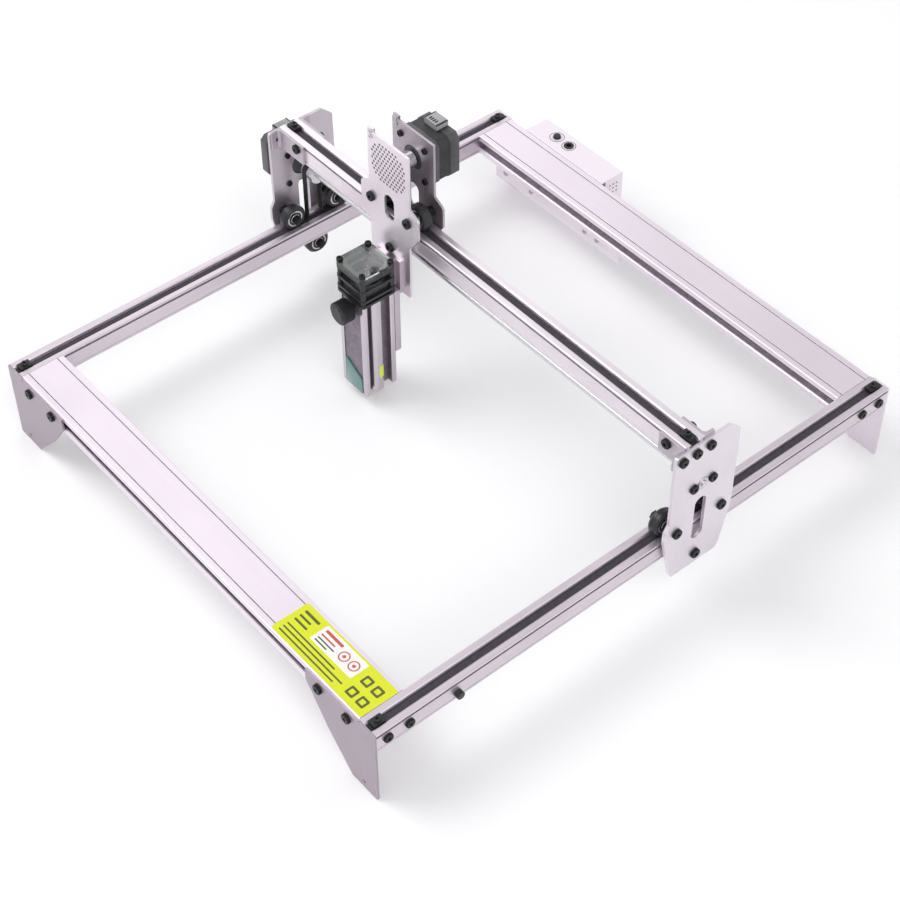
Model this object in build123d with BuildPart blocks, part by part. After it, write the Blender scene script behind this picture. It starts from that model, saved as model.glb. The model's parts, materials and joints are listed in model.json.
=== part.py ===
from build123d import *
import os

os.makedirs("parts", exist_ok=True)

# Desktop laser cutter. Millimetres, +X along the gantry, +Y to the back, +Z up, floor at z = 0.

# Frame
FRAME_X = 494.0  # outside of one side rail to the outside of the other
FRAME_Y = 540.0  # length of a side rail
RAIL = 20.0  # square side rail and gantry beam
BEAM_WIDE = 40.0  # front and rear beam, front to back
FRAME_TOP = 79.0
FRAME_MID = FRAME_TOP - RAIL / 2
RAIL_X = FRAME_X / 2 - RAIL / 2
BEAM_Y = FRAME_Y / 2 - BEAM_WIDE / 2
BEAM_LEN = FRAME_X - 2 * RAIL
FOOT_THICK = 2.0

# Slot cut along a profile face
SLOT_MOUTH = 4.9  # half width at the surface
SLOT_NECK = 3.1  # half width of the neck
SLOT_LIP = 1.8  # depth of the sloping flank
SLOT_NECK_DEEP = 2.2
SLOT_FLOOR = 6.0
SLOT_ROOM = 5.4  # half width behind the lips

# Gantry
GANTRY_Y = 31.5
BEAM_Z = 170.0
BEAM_HALF = 250.0
PLATE_X = 250.0  # inner face of each end plate
PLATE_THICK = 3.0
PLATE_Y = 42.7  # centre line of an end plate
SHAFT_Z = 130.0
SHAFT_R = 3.0
RUNNING = 0.05  # radial clearance of every turning shaft

# Wheels
WHEEL_R = 11.9
WHEEL_HALF = 4.9
WHEEL_RIM = 2.7
WHEEL_LIFT = RAIL / 2 + 10.15  # axle above or below the centre of a profile
AXLE_R = 2.5
WHEEL_BORE = AXLE_R + RUNNING
Y_PITCH = 23.9  # upper wheels each side of the plate centre
X_PITCH = 23.5

# Belt drive
BELT_HALF = 2.75
BELT_THICK = 1.4
BELT_SUNK = 2.4  # top of a fixed strand below the slot surface
PULLEY_R = 6.4
FLANGE_R = 8.0
PULLEY_HALF = BELT_HALF + 1.4
LOOP_R = 7.5

# Carriage
CAR_X = -92.5
CAR_FRONT = 17.5  # front face of the front plate
CAR_BACK = 43.5  # front face of the rear plate
CAR_THICK = 2.0
MOTOR_Z = 231.0
MOTOR = 42.3
MOTOR_LEN = 29.5
BOSS_R = 10.9

# Origin: centre of the whole object's footprint, measured from the centre of the frame
BOLT_HEAD = 2.8
BOX_BACK = 297.0
ORIGIN_X = (BOLT_HEAD - MOTOR_LEN) / 2
ORIGIN_Y = (BOX_BACK - FRAME_Y / 2 - FOOT_THICK - BOLT_HEAD) / 2

# Laser head
HEAD = 33.5
HEAD_X = CAR_X - 1.7
HEAD_Y = -8.4
HEAD_LOW = 11.0
HEAD_TOP = 115.0
FAN = 36.0
FAN_POST = 15.0  # corner posts each side of the fan's centre
KNOB_X = HEAD_X - 0.3
KNOB_Z = 105.5


def save(part, name):
    placed = part.moved(Location((-ORIGIN_X, -ORIGIN_Y, 0)))
    placed.label = name
    export_step(placed, f"parts/{name}.step")


def slot_points(place):
    """Outline of one slot whose surface lies on a line, walked in order."""
    half = [
        (SLOT_MOUTH + 0.6, -0.6),
        (SLOT_NECK, SLOT_LIP),
        (SLOT_NECK, SLOT_NECK_DEEP),
        (SLOT_ROOM, SLOT_NECK_DEEP),
        (SLOT_ROOM, SLOT_FLOOR - 2.6),
        (2.8, SLOT_FLOOR),
    ]
    loop = half + [(-across, deep) for across, deep in reversed(half)]
    return [place(across, deep) for across, deep in loop]


def rail_section():
    """Square profile: slot above and below, a line near the top and bottom of each side."""
    with BuildSketch() as section:
        Rectangle(RAIL, RAIL)
        fillet(section.vertices(), radius=0.8)
        with BuildLine():
            Polyline(*slot_points(lambda a, d: (a, RAIL / 2 - d)), close=True)
        make_face(mode=Mode.SUBTRACT)
        with BuildLine():
            Polyline(*slot_points(lambda a, d: (a, d - RAIL / 2)), close=True)
        make_face(mode=Mode.SUBTRACT)
        with Locations((RAIL / 2, 7.2), (-RAIL / 2, 7.2)):
            Rectangle(1.6, 2.2, mode=Mode.SUBTRACT)
        with Locations((RAIL / 2, -7.2), (-RAIL / 2, -7.2)):
            Rectangle(1.0, 0.8, mode=Mode.SUBTRACT)
        Circle(2.1, mode=Mode.SUBTRACT)
    return section.sketch


def beam_section():
    """Wide flat profile: slot in each long edge, plain top and bottom with two lines each."""
    with BuildSketch() as section:
        Rectangle(BEAM_WIDE, RAIL)
        fillet(section.vertices(), radius=0.8)
        with BuildLine():
            Polyline(*slot_points(lambda a, d: (BEAM_WIDE / 2 - d, a)), close=True)
        make_face(mode=Mode.SUBTRACT)
        with BuildLine():
            Polyline(*slot_points(lambda a, d: (d - BEAM_WIDE / 2, a)), close=True)
        make_face(mode=Mode.SUBTRACT)
        with GridLocations(28.0, RAIL, 2, 2):
            Rectangle(0.9, 1.0, mode=Mode.SUBTRACT)
        with GridLocations(20.0, 1.0, 2, 1):
            Circle(2.1, mode=Mode.SUBTRACT)
        Rectangle(9.0, 15.0, mode=Mode.SUBTRACT)
    return section.sketch


def socket_bolt(head_r, head_high, shank_r, shank_long, socket_r):
    """Bolt along +Z with its head on the plane z = 0 and the shank below."""
    with BuildPart(mode=Mode.PRIVATE) as bolt:
        Cylinder(head_r, head_high, align=(Align.CENTER, Align.CENTER, Align.MIN))
        fillet(bolt.edges().group_by(Axis.Z)[-1], radius=min(0.8, head_high / 3))
        Cylinder(shank_r, shank_long, align=(Align.CENTER, Align.CENTER, Align.MAX))
        with BuildSketch(Plane.XY.offset(head_high)):
            RegularPolygon(socket_r, 6)
        extrude(amount=-head_high * 0.6, mode=Mode.SUBTRACT)
    return bolt.part


def v_wheel():
    """Wheel along Z, its flat rim between two sloping shoulders, with its bearing hub."""
    with BuildPart(mode=Mode.PRIVATE) as wheel:
        with BuildSketch(Plane.XZ):
            with BuildLine():
                Polyline(
                    (8.0, -WHEEL_HALF),
                    (WHEEL_R - WHEEL_HALF + WHEEL_RIM, -WHEEL_HALF),
                    (WHEEL_R, -WHEEL_RIM),
                    (WHEEL_R, WHEEL_RIM),
                    (WHEEL_R - WHEEL_HALF + WHEEL_RIM, WHEEL_HALF),
                    (8.0, WHEEL_HALF),
                    close=True,
                )
            make_face()
        revolve(axis=Axis.Z)
    with BuildPart(mode=Mode.PRIVATE) as hub:
        Cylinder(8.0, 2 * WHEEL_HALF - 0.8)
        Cylinder(5.6, 2 * WHEEL_HALF)
        Cylinder(WHEEL_BORE, 2 * WHEEL_HALF, mode=Mode.SUBTRACT)
    return Compound(children=[wheel.part, hub.part])


def belt_loop(axle_drop):
    """Belt seen along its width: up one side of the pulley, over it and down the other side."""
    low = -axle_drop - WHEEL_LIFT + RAIL / 2 - BELT_SUNK + 1.9
    with BuildSketch(mode=Mode.PRIVATE) as face:
        with BuildLine() as path:
            Line((-LOOP_R - 8.6, low), (-LOOP_R - 5.0, low))
            RadiusArc((-LOOP_R - 5.0, low), (-LOOP_R, low + 5.0), -5.0)
            Line((-LOOP_R, low + 5.0), (-LOOP_R, 0))
            RadiusArc((-LOOP_R, 0), (LOOP_R, 0), LOOP_R)
            Line((LOOP_R, 0), (LOOP_R, low + 5.0))
            RadiusArc((LOOP_R, low + 5.0), (LOOP_R + 5.0, low), -5.0)
            Line((LOOP_R + 5.0, low), (LOOP_R + 8.6, low))
        trace(lines=path.line, line_width=BELT_THICK)
    return face.sketch


def nema_motor(long):
    """Stepper motor along +Z from its mounting face at z = 0: can, end caps, boss and plug."""
    with BuildPart(mode=Mode.PRIVATE) as can:
        with BuildSketch():
            Rectangle(MOTOR, MOTOR)
        extrude(amount=long)
        chamfer(can.edges().filter_by(Axis.Z), length=4.5)
        for level in (8.5, long - 9.5):
            with BuildSketch(Plane.XY.offset(level)):
                Rectangle(MOTOR + 1, MOTOR + 1)
                Rectangle(MOTOR - 0.8, MOTOR - 0.8, mode=Mode.SUBTRACT)
            extrude(amount=1.0, mode=Mode.SUBTRACT)
        with BuildSketch():
            with GridLocations(31.0, 31.0, 2, 2):
                Circle(1.6)
        extrude(amount=7.0, mode=Mode.SUBTRACT)
        Cylinder(BOSS_R, 1.8, align=(Align.CENTER, Align.CENTER, Align.MAX))
        with BuildSketch(Plane.XY.offset(-1.8)):
            Circle(SHAFT_R + RUNNING)
        extrude(amount=4.0, mode=Mode.SUBTRACT)
    with BuildPart(mode=Mode.PRIVATE) as plug:
        with BuildSketch(Plane.XY.offset(long - 13.0)):
            with Locations((0, MOTOR / 2 + 3.0)):
                Rectangle(16.0, 6.0)
        extrude(amount=12.0)
        with BuildSketch(Plane.XY.offset(long - 1.0)):
            with Locations((0, MOTOR / 2 + 3.0)):
                Rectangle(13.0, 3.6)
        extrude(amount=-5.0, mode=Mode.SUBTRACT)
        with BuildSketch(Plane.XY.offset(long - 6.0)):
            with Locations((0, MOTOR / 2 + 3.0)):
                with GridLocations(2.5, 1, 4, 1):
                    Rectangle(0.6, 0.6)
        extrude(amount=4.0)
    return Compound(children=[can.part, plug.part])


# --- Fixed frame -----------------------------------------------------------------------------

for side, name in ((-1, "left_rail"), (1, "right_rail")):
    with BuildPart() as rail:
        with BuildSketch(Plane.XZ.offset(-FRAME_Y / 2)):
            with Locations((side * RAIL_X, FRAME_MID)):
                add(rail_section())
        extrude(amount=FRAME_Y)
        with BuildSketch(Plane.YZ.offset(side * FRAME_X / 2)):
            for beam_y in (-BEAM_Y, BEAM_Y):
                with Locations((beam_y, FRAME_MID)):
                    with GridLocations(20.0, 1.0, 2, 1):
                        Circle(2.6)
        extrude(amount=-side * RAIL, mode=Mode.SUBTRACT)
    save(rail.part, name)

for end, name in ((-1, "front_beam"), (1, "rear_beam")):
    with BuildPart() as beam:
        with BuildSketch(Plane.YZ.offset(-BEAM_LEN / 2)):
            with Locations((end * BEAM_Y, FRAME_MID)):
                add(beam_section())
        extrude(amount=BEAM_LEN)
    save(beam.part, name)

FOOT_BOLTS = (181.0, 215.0)
for end, end_name in ((-1, "front"), (1, "rear")):
    for side, side_name in ((-1, "left"), (1, "right")):
        with BuildPart() as foot:
            with BuildSketch(Plane.XZ.offset(-end * FRAME_Y / 2)):
                with BuildLine():
                    Polyline(
                        (side * 247.0, FRAME_TOP - 0.4),
                        (side * 229.0, FRAME_TOP - 0.4),
                        (side * 227.0, 76.4),
                        (side * 165.0, 76.4),
                        (side * 165.0, 65.0),
                        (side * 189.0, 31.0),
                        (side * 217.5, 0.0),
                        (side * 247.0, 0.0),
                        close=True,
                    )
                make_face()
                for bolt_x in FOOT_BOLTS:
                    with Locations((side * bolt_x, FRAME_MID)):
                        Circle(2.6, mode=Mode.SUBTRACT)
                with Locations((side * 231.5, 7.0)):
                    Circle(1.8, mode=Mode.SUBTRACT)
            extrude(amount=-end * FOOT_THICK)
            fillet(foot.edges().filter_by(Axis.Y).group_by(Axis.Z)[0], radius=1.0)
        save(foot.part, f"foot_{end_name}_{side_name}")

# Bolts through the feet into the beam slots, each with a slot nut
with BuildPart() as foot_bolts:
    for end in (-1, 1):
        for side in (-1, 1):
            for bolt_x in FOOT_BOLTS:
                spot = Location((side * bolt_x, end * (FRAME_Y / 2 + FOOT_THICK), FRAME_MID))
                turn = Location((0, 0, 0), (-90 * end, 0, 0))
                with Locations(spot * turn):
                    add(socket_bolt(4.4, BOLT_HEAD, 2.4, 5.6, 1.7))
save(foot_bolts.part, "foot_bolts")

# Bolts through the side rails into the ends of both beams
with BuildPart() as beam_bolts:
    for side in (-1, 1):
        for end in (-1, 1):
            for step in (-10.0, 10.0):
                spot = Location((side * FRAME_X / 2, end * BEAM_Y + step, FRAME_MID))
                with Locations(spot * Location((0, 0, 0), (0, 90 * side, 0))):
                    add(socket_bolt(4.2, 2.2, 2.0, 30.0, 1.7))
save(beam_bolts.part, "beam_bolts")

# Fixed belt strands lying in the top slot of each side rail
with BuildPart() as y_strands:
    with Locations((-RAIL_X, 0, FRAME_TOP - BELT_SUNK), (RAIL_X, 0, FRAME_TOP - BELT_SUNK)):
        Box(
            2 * BELT_HALF,
            FRAME_Y - 3.0,
            BELT_THICK,
            align=(Align.CENTER, Align.CENTER, Align.MAX),
        )
save(y_strands.part, "y_belt_strands")


def belt_clamp(long):
    """Clamp in the slot along Y: foot beneath the lips' mouth, cap above them and a screw head."""
    with BuildPart(mode=Mode.PRIVATE) as clamp:
        Box(5.6, long, BELT_SUNK, align=(Align.CENTER, Align.CENTER, Align.MAX))
        Box(7.6, long, 1.6, align=(Align.CENTER, Align.CENTER, Align.MIN))
        with Locations((0, 0, 1.6)):
            Cylinder(2.7, 2.0, align=(Align.CENTER, Align.CENTER, Align.MIN))
        with BuildSketch(Plane.XY.offset(3.6)):
            RegularPolygon(1.5, 6)
        extrude(amount=-1.4, mode=Mode.SUBTRACT)
    return clamp.part


with BuildPart() as y_clamps:
    for side in (-1, 1):
        for end in (-1, 1):
            with Locations((side * RAIL_X, end * 261.5, FRAME_TOP)):
                add(belt_clamp(11.0))
save(y_clamps.part, "y_belt_clamps")

with BuildPart() as stud:
    with BuildSketch(Plane.YZ.offset(FRAME_X / 2)):
        with Locations((-195.0, FRAME_MID - 3.0)):
            Circle(3.6)
    extrude(amount=5.0)
    fillet(stud.edges().group_by(Axis.X)[-1], radius=1.0)
save(stud.part, "travel_stop")

with BuildPart() as label:
    with Locations((173.0, -BEAM_Y - 1.0, FRAME_TOP)):
        Box(108.0, 35.0, 0.2, align=(Align.CENTER, Align.CENTER, Align.MIN))
save(label.part, "beam_label")

# --- Control box behind and beneath the rear beam ---------------------------------------------

BOX_LEFT = -206.0
BOX_RIGHT = -101.0
TRAY_RIGHT = -42.0
TRAY_FRONT = 238.0
TRAY_BACK = 269.6
BOX_FRONT = 275.4  # clear of the rear foot and its bolt heads
NECK_LEFT = -160.0  # the foot ends left of here
BOX_LOW = 40.0
BOX_SKIN = 1.5
TRAY_TOP = FRAME_TOP - RAIL
LID_THICK = 1.2
LID_LOW = FRAME_TOP - LID_THICK
LID_FRONT = FRAME_Y / 2 + 0.4
BUTTON = (-178.5, 285.0)
INLET = (-161.5, 284.5)
BOX_SCREW_X = (-197.0, -161.0, -87.0, -70.5)
BOX_SCREW_Z = 49.0


def block(left, right, front, back, low, high, mode=Mode.ADD):
    """Upright box given by its six faces."""
    with Locations(((left + right) / 2, (front + back) / 2, (low + high) / 2)):
        Box(right - left, back - front, high - low, mode=mode)


with BuildPart() as box:
    block(BOX_LEFT, TRAY_RIGHT, TRAY_FRONT, TRAY_BACK, BOX_LOW, TRAY_TOP)
    block(BOX_LEFT, BOX_RIGHT, BOX_FRONT, BOX_BACK, BOX_LOW, LID_LOW)
    block(NECK_LEFT, BOX_RIGHT, TRAY_BACK, BOX_FRONT, BOX_LOW, TRAY_TOP)
    block(
        BOX_LEFT + BOX_SKIN,
        TRAY_RIGHT - BOX_SKIN,
        TRAY_FRONT + BOX_SKIN,
        TRAY_BACK - BOX_SKIN,
        BOX_LOW + BOX_SKIN,
        TRAY_TOP,
        Mode.SUBTRACT,
    )
    block(
        BOX_LEFT + BOX_SKIN,
        BOX_RIGHT - BOX_SKIN,
        BOX_FRONT + BOX_SKIN,
        BOX_BACK - BOX_SKIN,
        BOX_LOW + BOX_SKIN,
        LID_LOW,
        Mode.SUBTRACT,
    )
    block(
        NECK_LEFT + BOX_SKIN,
        BOX_RIGHT - BOX_SKIN,
        TRAY_BACK - BOX_SKIN,
        BOX_FRONT + BOX_SKIN,
        BOX_LOW + BOX_SKIN,
        TRAY_TOP - BOX_SKIN,
        Mode.SUBTRACT,
    )
    with BuildSketch(Plane.YZ.offset(BOX_RIGHT)):
        with Locations((285.5, 66.0)):
            with GridLocations(4.2, 4.6, 3, 3):
                Circle(1.1)
    extrude(amount=-4.0, mode=Mode.SUBTRACT)
    with BuildSketch(Plane.XZ.offset(-TRAY_FRONT)):
        for screw_x in BOX_SCREW_X:
            with Locations((screw_x, BOX_SCREW_Z)):
                Circle(1.3)
    extrude(amount=-BOX_SKIN, mode=Mode.SUBTRACT)
save(box.part, "control_box")

with BuildPart() as lid:
    block(BOX_LEFT, BOX_RIGHT, LID_FRONT, BOX_BACK, LID_LOW, FRAME_TOP)
    chamfer(lid.faces().sort_by(Axis.Z)[-1].outer_wire().edges(), length=0.4)
    with BuildSketch(Plane.XY.offset(LID_LOW)):
        with Locations(BUTTON):
            Circle(3.9)
        with Locations(INLET):
            Circle(3.6)
    extrude(amount=LID_THICK, mode=Mode.SUBTRACT)
save(lid.part, "control_box_lid")

BOARD_MID = (-124.0, (TRAY_FRONT + TRAY_BACK) / 2)
BOARD_LOW = BOX_LOW + BOX_SKIN
with BuildPart() as board:
    with BuildSketch(Plane.XY.offset(BOARD_LOW + 3.0)):
        with Locations(BOARD_MID):
            Rectangle(152.0, 26.0)
            with GridLocations(144.0, 20.0, 2, 2):
                Circle(1.6, mode=Mode.SUBTRACT)
    extrude(amount=1.6)
    with BuildSketch(Plane.XY.offset(BOARD_LOW + 4.6)):
        with Locations((-165.0, BOARD_MID[1]), (-145.0, BOARD_MID[1])):
            Rectangle(13.0, 16.0)
        with Locations((-108.0, BOARD_MID[1])):
            Rectangle(16.0, 16.0)
    extrude(amount=4.0)
    with BuildSketch(Plane.XY.offset(BOARD_LOW + 4.6)):
        with Locations((-75.0, BOARD_MID[1])):
            Circle(5.0)
    extrude(amount=8.0)
    with BuildSketch(Plane.XY.offset(BOARD_LOW)):
        with Locations(BOARD_MID):
            with GridLocations(144.0, 20.0, 2, 2):
                Circle(2.4)
    extrude(amount=3.0)
save(board.part, "control_board")

with BuildPart() as box_screws:
    for screw_x in BOX_SCREW_X:
        with Locations(Location((screw_x, TRAY_FRONT, BOX_SCREW_Z), (90, 0, 0))):
            add(socket_bolt(2.6, 1.2, 1.2, 1.2, 1.2))
save(box_screws.part, "box_screws")

with BuildPart() as inlet:
    with BuildSketch(Plane.XY.offset(FRAME_TOP - 11.0)):
        with Locations(INLET):
            Circle(3.5)
    extrude(amount=11.0)
    with BuildSketch(Plane.XY.offset(FRAME_TOP)):
        with Locations(INLET):
            Circle(4.8)
    extrude(amount=0.8)
    with BuildSketch(Plane.XY.offset(FRAME_TOP + 0.8)):
        with Locations(INLET):
            Circle(2.7)
    extrude(amount=-9.0, mode=Mode.SUBTRACT)
    with BuildSketch(Plane.XY.offset(FRAME_TOP - 10.0)):
        with Locations(INLET):
            Circle(1.0)
    extrude(amount=8.5)
save(inlet.part, "power_inlet")

with BuildPart() as button:
    with BuildSketch(Plane.XY.offset(LID_LOW - 4.0)):
        with Locations(BUTTON):
            Circle(3.5)
    extrude(amount=7.6)
    fillet(button.edges().group_by(Axis.Z)[-1], radius=0.6)
    with BuildSketch(Plane.XY.offset(LID_LOW - 4.0)):
        with Locations(BUTTON):
            Circle(4.6)
    extrude(amount=1.2)
save(button.part, "power_button")

# --- Gantry ----------------------------------------------------------------------------------

with BuildPart() as gantry_beam:
    with BuildSketch(Plane.YZ.offset(-BEAM_HALF)):
        with Locations((GANTRY_Y, BEAM_Z)):
            add(rail_section())
    extrude(amount=2 * BEAM_HALF)
save(gantry_beam.part, "gantry_beam")

TOP_AXLE_Z = FRAME_MID + WHEEL_LIFT
LOW_AXLE_Z = FRAME_MID - WHEEL_LIFT
AXLES_Y = (
    (PLATE_Y - Y_PITCH, TOP_AXLE_Z),
    (PLATE_Y + Y_PITCH, TOP_AXLE_Z),
    (PLATE_Y, LOW_AXLE_Z),
)
BRACKET_BOLT = 14.4
PLATE_BOLTS = (
    (GANTRY_Y, BEAM_Z),
    (GANTRY_Y - BRACKET_BOLT, BEAM_Z),
    (GANTRY_Y + BRACKET_BOLT, BEAM_Z),
)
BLOCK_BOLTS = ((PLATE_Y - 10.0, SHAFT_Z), (PLATE_Y + 10.0, SHAFT_Z))
MOTOR_BOLTS = tuple(
    (PLATE_Y + across, SHAFT_Z + rise) for across in (-15.5, 15.5) for rise in (-15.5, 15.5)
)

# Outline of an end plate in Y and Z: flat top cut off behind, flared at the wheels, narrow tail
END_PLATE = (
    (10.2, 177.0),
    (10.2, 103.0),
    (6.4, 96.0),
    (6.4, 84.0),
    (15.7, 42.0),
    (18.5, 37.2),
    (66.9, 37.2),
    (69.7, 42.0),
    (79.0, 84.0),
    (78.2, 167.0),
    (67.0, 177.0),
)
BEARING_R = 5.4

for side, name in ((-1, "left_end_plate"), (1, "right_end_plate")):
    with BuildPart() as end_plate:
        with BuildSketch(Plane.YZ.offset(side * PLATE_X)) as outline:
            with BuildLine():
                Polyline(*END_PLATE, close=True)
            make_face()
            fillet(outline.vertices(), radius=2.4)
            with Locations((PLATE_Y, 90.5)):
                SlotOverall(47.0, 12.0, rotation=90, mode=Mode.SUBTRACT)
            with Locations(*AXLES_Y, *PLATE_BOLTS):
                Circle(2.6, mode=Mode.SUBTRACT)
            with Locations(*(BLOCK_BOLTS if side > 0 else MOTOR_BOLTS)):
                Circle(1.6, mode=Mode.SUBTRACT)
            with Locations((PLATE_Y, SHAFT_Z)):
                Circle(BEARING_R + 0.2 if side > 0 else BOSS_R + 0.2, mode=Mode.SUBTRACT)
        extrude(amount=side * PLATE_THICK)
    save(end_plate.part, name)

# Angle brackets joining the beam's front and back to the end plates: the left ones are longer
BRACKET_THICK = 2.5
BRACKET_RISE = 174.0  # height of the bolts through the legs on the beam
BRACKETS = ((-1, 36.0, 28.0), (1, 25.0, 16.2))  # side, leg along the beam, bolt from the plate
with BuildPart() as brackets:
    for side, reach, bolt_at in BRACKETS:
        wall = side * PLATE_X
        for face in (-1, 1):
            near = GANTRY_Y + face * RAIL / 2
            with BuildSketch(Plane.XY.offset(BEAM_Z - 9.0)):
                with BuildLine():
                    Polyline(
                        (wall, near),
                        (wall - side * reach, near),
                        (wall - side * reach, near + face * BRACKET_THICK),
                        (wall - side * (BRACKET_THICK + 2.0), near + face * BRACKET_THICK),
                        (wall - side * BRACKET_THICK, near + face * (BRACKET_THICK + 2.0)),
                        (wall - side * BRACKET_THICK, near + face * 10.4),
                        (wall, near + face * 10.4),
                        close=True,
                    )
                make_face()
            extrude(amount=18.5)
            with BuildSketch(Plane.YZ.offset(wall)):
                with Locations((GANTRY_Y + face * BRACKET_BOLT, BEAM_Z)):
                    Circle(2.1)
            extrude(amount=-side * BRACKET_THICK, mode=Mode.SUBTRACT)
            with BuildSketch(Plane.XZ.offset(-near)):
                with Locations((wall - side * bolt_at, BRACKET_RISE)):
                    Circle(2.1)
            extrude(amount=-face * BRACKET_THICK, mode=Mode.SUBTRACT)
save(brackets.part, "corner_brackets")

# Bolts of the end plates and brackets
with BuildPart() as gantry_bolts:
    for side, reach, bolt_at in BRACKETS:
        for bolt_y, bolt_z in PLATE_BOLTS:
            long = 14.0 if bolt_y == GANTRY_Y else PLATE_THICK + BRACKET_THICK
            spot = Location((side * (PLATE_X + PLATE_THICK), bolt_y, bolt_z), (0, 90 * side, 0))
            with Locations(spot):
                add(socket_bolt(4.3, 2.8, 2.0, long, 1.7))
        for face in (-1, 1):
            head_at = GANTRY_Y + face * (RAIL / 2 + BRACKET_THICK)
            spot = Location((side * (PLATE_X - bolt_at), head_at, BRACKET_RISE), (-90 * face, 0, 0))
            with Locations(spot):
                add(socket_bolt(4.3, 2.8, 2.0, BRACKET_THICK, 1.7))
    for bolt_y, bolt_z in MOTOR_BOLTS:
        with Locations(Location((-PLATE_X, bolt_y, bolt_z), (0, 90, 0))):
            add(socket_bolt(2.6, 2.0, 1.4, 8.0, 1.2))
    for bolt_y, bolt_z in BLOCK_BOLTS:
        with Locations(Location((PLATE_X + PLATE_THICK, bolt_y, bolt_z), (0, 90, 0))):
            add(socket_bolt(4.2, 2.4, 1.4, 7.0, 1.7))
save(gantry_bolts.part, "gantry_bolts")

# Wheel axles of the gantry: bolt head outside, shank, spacer inside the plate, end nut
with BuildPart() as y_axles:
    for side in (-1, 1):
        for axle_y, axle_z in AXLES_Y:
            spot = Location((side * (PLATE_X + PLATE_THICK), axle_y, axle_z), (0, 90 * side, 0))
            with Locations(spot):
                add(socket_bolt(4.5, BOLT_HEAD, AXLE_R, 26.0, 1.8))
            inner = PLATE_X - RAIL_X - WHEEL_HALF - 0.35
            with Locations(Location((side * PLATE_X, axle_y, axle_z), (0, -90 * side, 0))):
                Cylinder(4.6, inner, align=(Align.CENTER, Align.CENTER, Align.MIN))
            nut = RAIL_X - WHEEL_HALF - 0.35
            with BuildSketch(Plane.YZ.offset(side * nut)):
                with Locations((axle_y, axle_z)):
                    RegularPolygon(4.4, 6)
            extrude(amount=-side * 4.0)
save(y_axles.part, "y_wheel_axles")

with BuildPart() as y_motor:
    with Locations(Location((-PLATE_X - PLATE_THICK, PLATE_Y, SHAFT_Z), (0, -90, 0))):
        with Locations(Location((0, 0, 0), (0, 0, -90))):
            add(nema_motor(MOTOR_LEN))
save(y_motor.part, "y_motor")

with BuildPart() as bearing:
    with BuildSketch(Plane.YZ.offset(PLATE_X)):
        with Locations((PLATE_Y, SHAFT_Z)):
            RectangleRounded(28.0, 16.0, 4.0)
            Circle(SHAFT_R + RUNNING, mode=Mode.SUBTRACT)
        with Locations(*BLOCK_BOLTS):
            Circle(1.6, mode=Mode.SUBTRACT)
    extrude(amount=-6.0)
    with BuildSketch(Plane.YZ.offset(PLATE_X)):
        with Locations((PLATE_Y, SHAFT_Z)):
            Circle(BEARING_R)
            Circle(SHAFT_R + RUNNING, mode=Mode.SUBTRACT)
    extrude(amount=PLATE_THICK + 0.8)
save(bearing.part, "bearing_block")

with BuildPart() as y_loops:
    for side in (-1, 1):
        with BuildSketch(Plane.YZ.offset(side * RAIL_X - BELT_HALF)):
            with Locations((PLATE_Y, SHAFT_Z)):
                add(belt_loop(SHAFT_Z - TOP_AXLE_Z))
        extrude(amount=2 * BELT_HALF)
save(y_loops.part, "y_belt_loops")

with BuildPart() as x_strand:
    with Locations((0, GANTRY_Y, BEAM_Z + RAIL / 2 - BELT_SUNK)):
        Box(
            2 * BEAM_HALF - 4.0,
            2 * BELT_HALF,
            BELT_THICK,
            align=(Align.CENTER, Align.CENTER, Align.MAX),
        )
save(x_strand.part, "x_belt_strand")

with BuildPart() as x_clamps:
    for side in (-1, 1):
        spot = Location((side * 242.0, GANTRY_Y, BEAM_Z + RAIL / 2), (0, 0, 90))
        with Locations(spot):
            add(belt_clamp(11.0))
save(x_clamps.part, "x_belt_clamps")

# --- Shaft carrying motion from the motor to the far side -------------------------------------

with BuildPart() as shaft:
    with BuildSketch(Plane.YZ.offset(-PLATE_X - PLATE_THICK + 0.4)):
        with Locations((PLATE_Y, SHAFT_Z)):
            Circle(SHAFT_R)
    extrude(amount=2 * (PLATE_X + PLATE_THICK) + 1.6)
save(shaft.part, "sync_shaft")


def pulley():
    """Toothed pulley along Z with two flanges and a clamping hub, centred on the belt."""
    with BuildPart(mode=Mode.PRIVATE) as wheel:
        Cylinder(PULLEY_R, 2 * BELT_HALF + 0.8)
        with Locations((0, 0, BELT_HALF + 0.9), (0, 0, -BELT_HALF - 0.9)):
            Cylinder(FLANGE_R, 1.0)
        with BuildSketch(Plane.XY.offset(-BELT_HALF)):
            with PolarLocations(PULLEY_R, 20):
                Circle(0.5)
        extrude(amount=2 * BELT_HALF, mode=Mode.SUBTRACT)
        Cylinder(SHAFT_R, 20.0, mode=Mode.SUBTRACT)
    return wheel.part


with BuildPart() as y_pulleys:
    for side in (-1, 1):
        with Locations(Location((side * RAIL_X, PLATE_Y, SHAFT_Z), (0, 90, 0))):
            add(pulley())
        hub_at = side * (RAIL_X - PULLEY_HALF - 3.5)
        with Locations(Location((hub_at, PLATE_Y, SHAFT_Z), (0, 90, 0))):
            Cylinder(FLANGE_R, 7.0)
            Cylinder(SHAFT_R, 7.0, mode=Mode.SUBTRACT)
save(y_pulleys.part, "y_pulleys")

WHEELS_Y = {"front": AXLES_Y[0], "rear": AXLES_Y[1], "lower": AXLES_Y[2]}
for side, side_name in ((-1, "left"), (1, "right")):
    for place_name, (axle_y, axle_z) in WHEELS_Y.items():
        with BuildPart() as y_wheel:
            with Locations(Location((side * RAIL_X, axle_y, axle_z), (0, 90, 0))):
                add(v_wheel())
        save(y_wheel.part, f"y_wheel_{place_name}_{side_name}")

# --- Carriage on the gantry beam --------------------------------------------------------------

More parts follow.
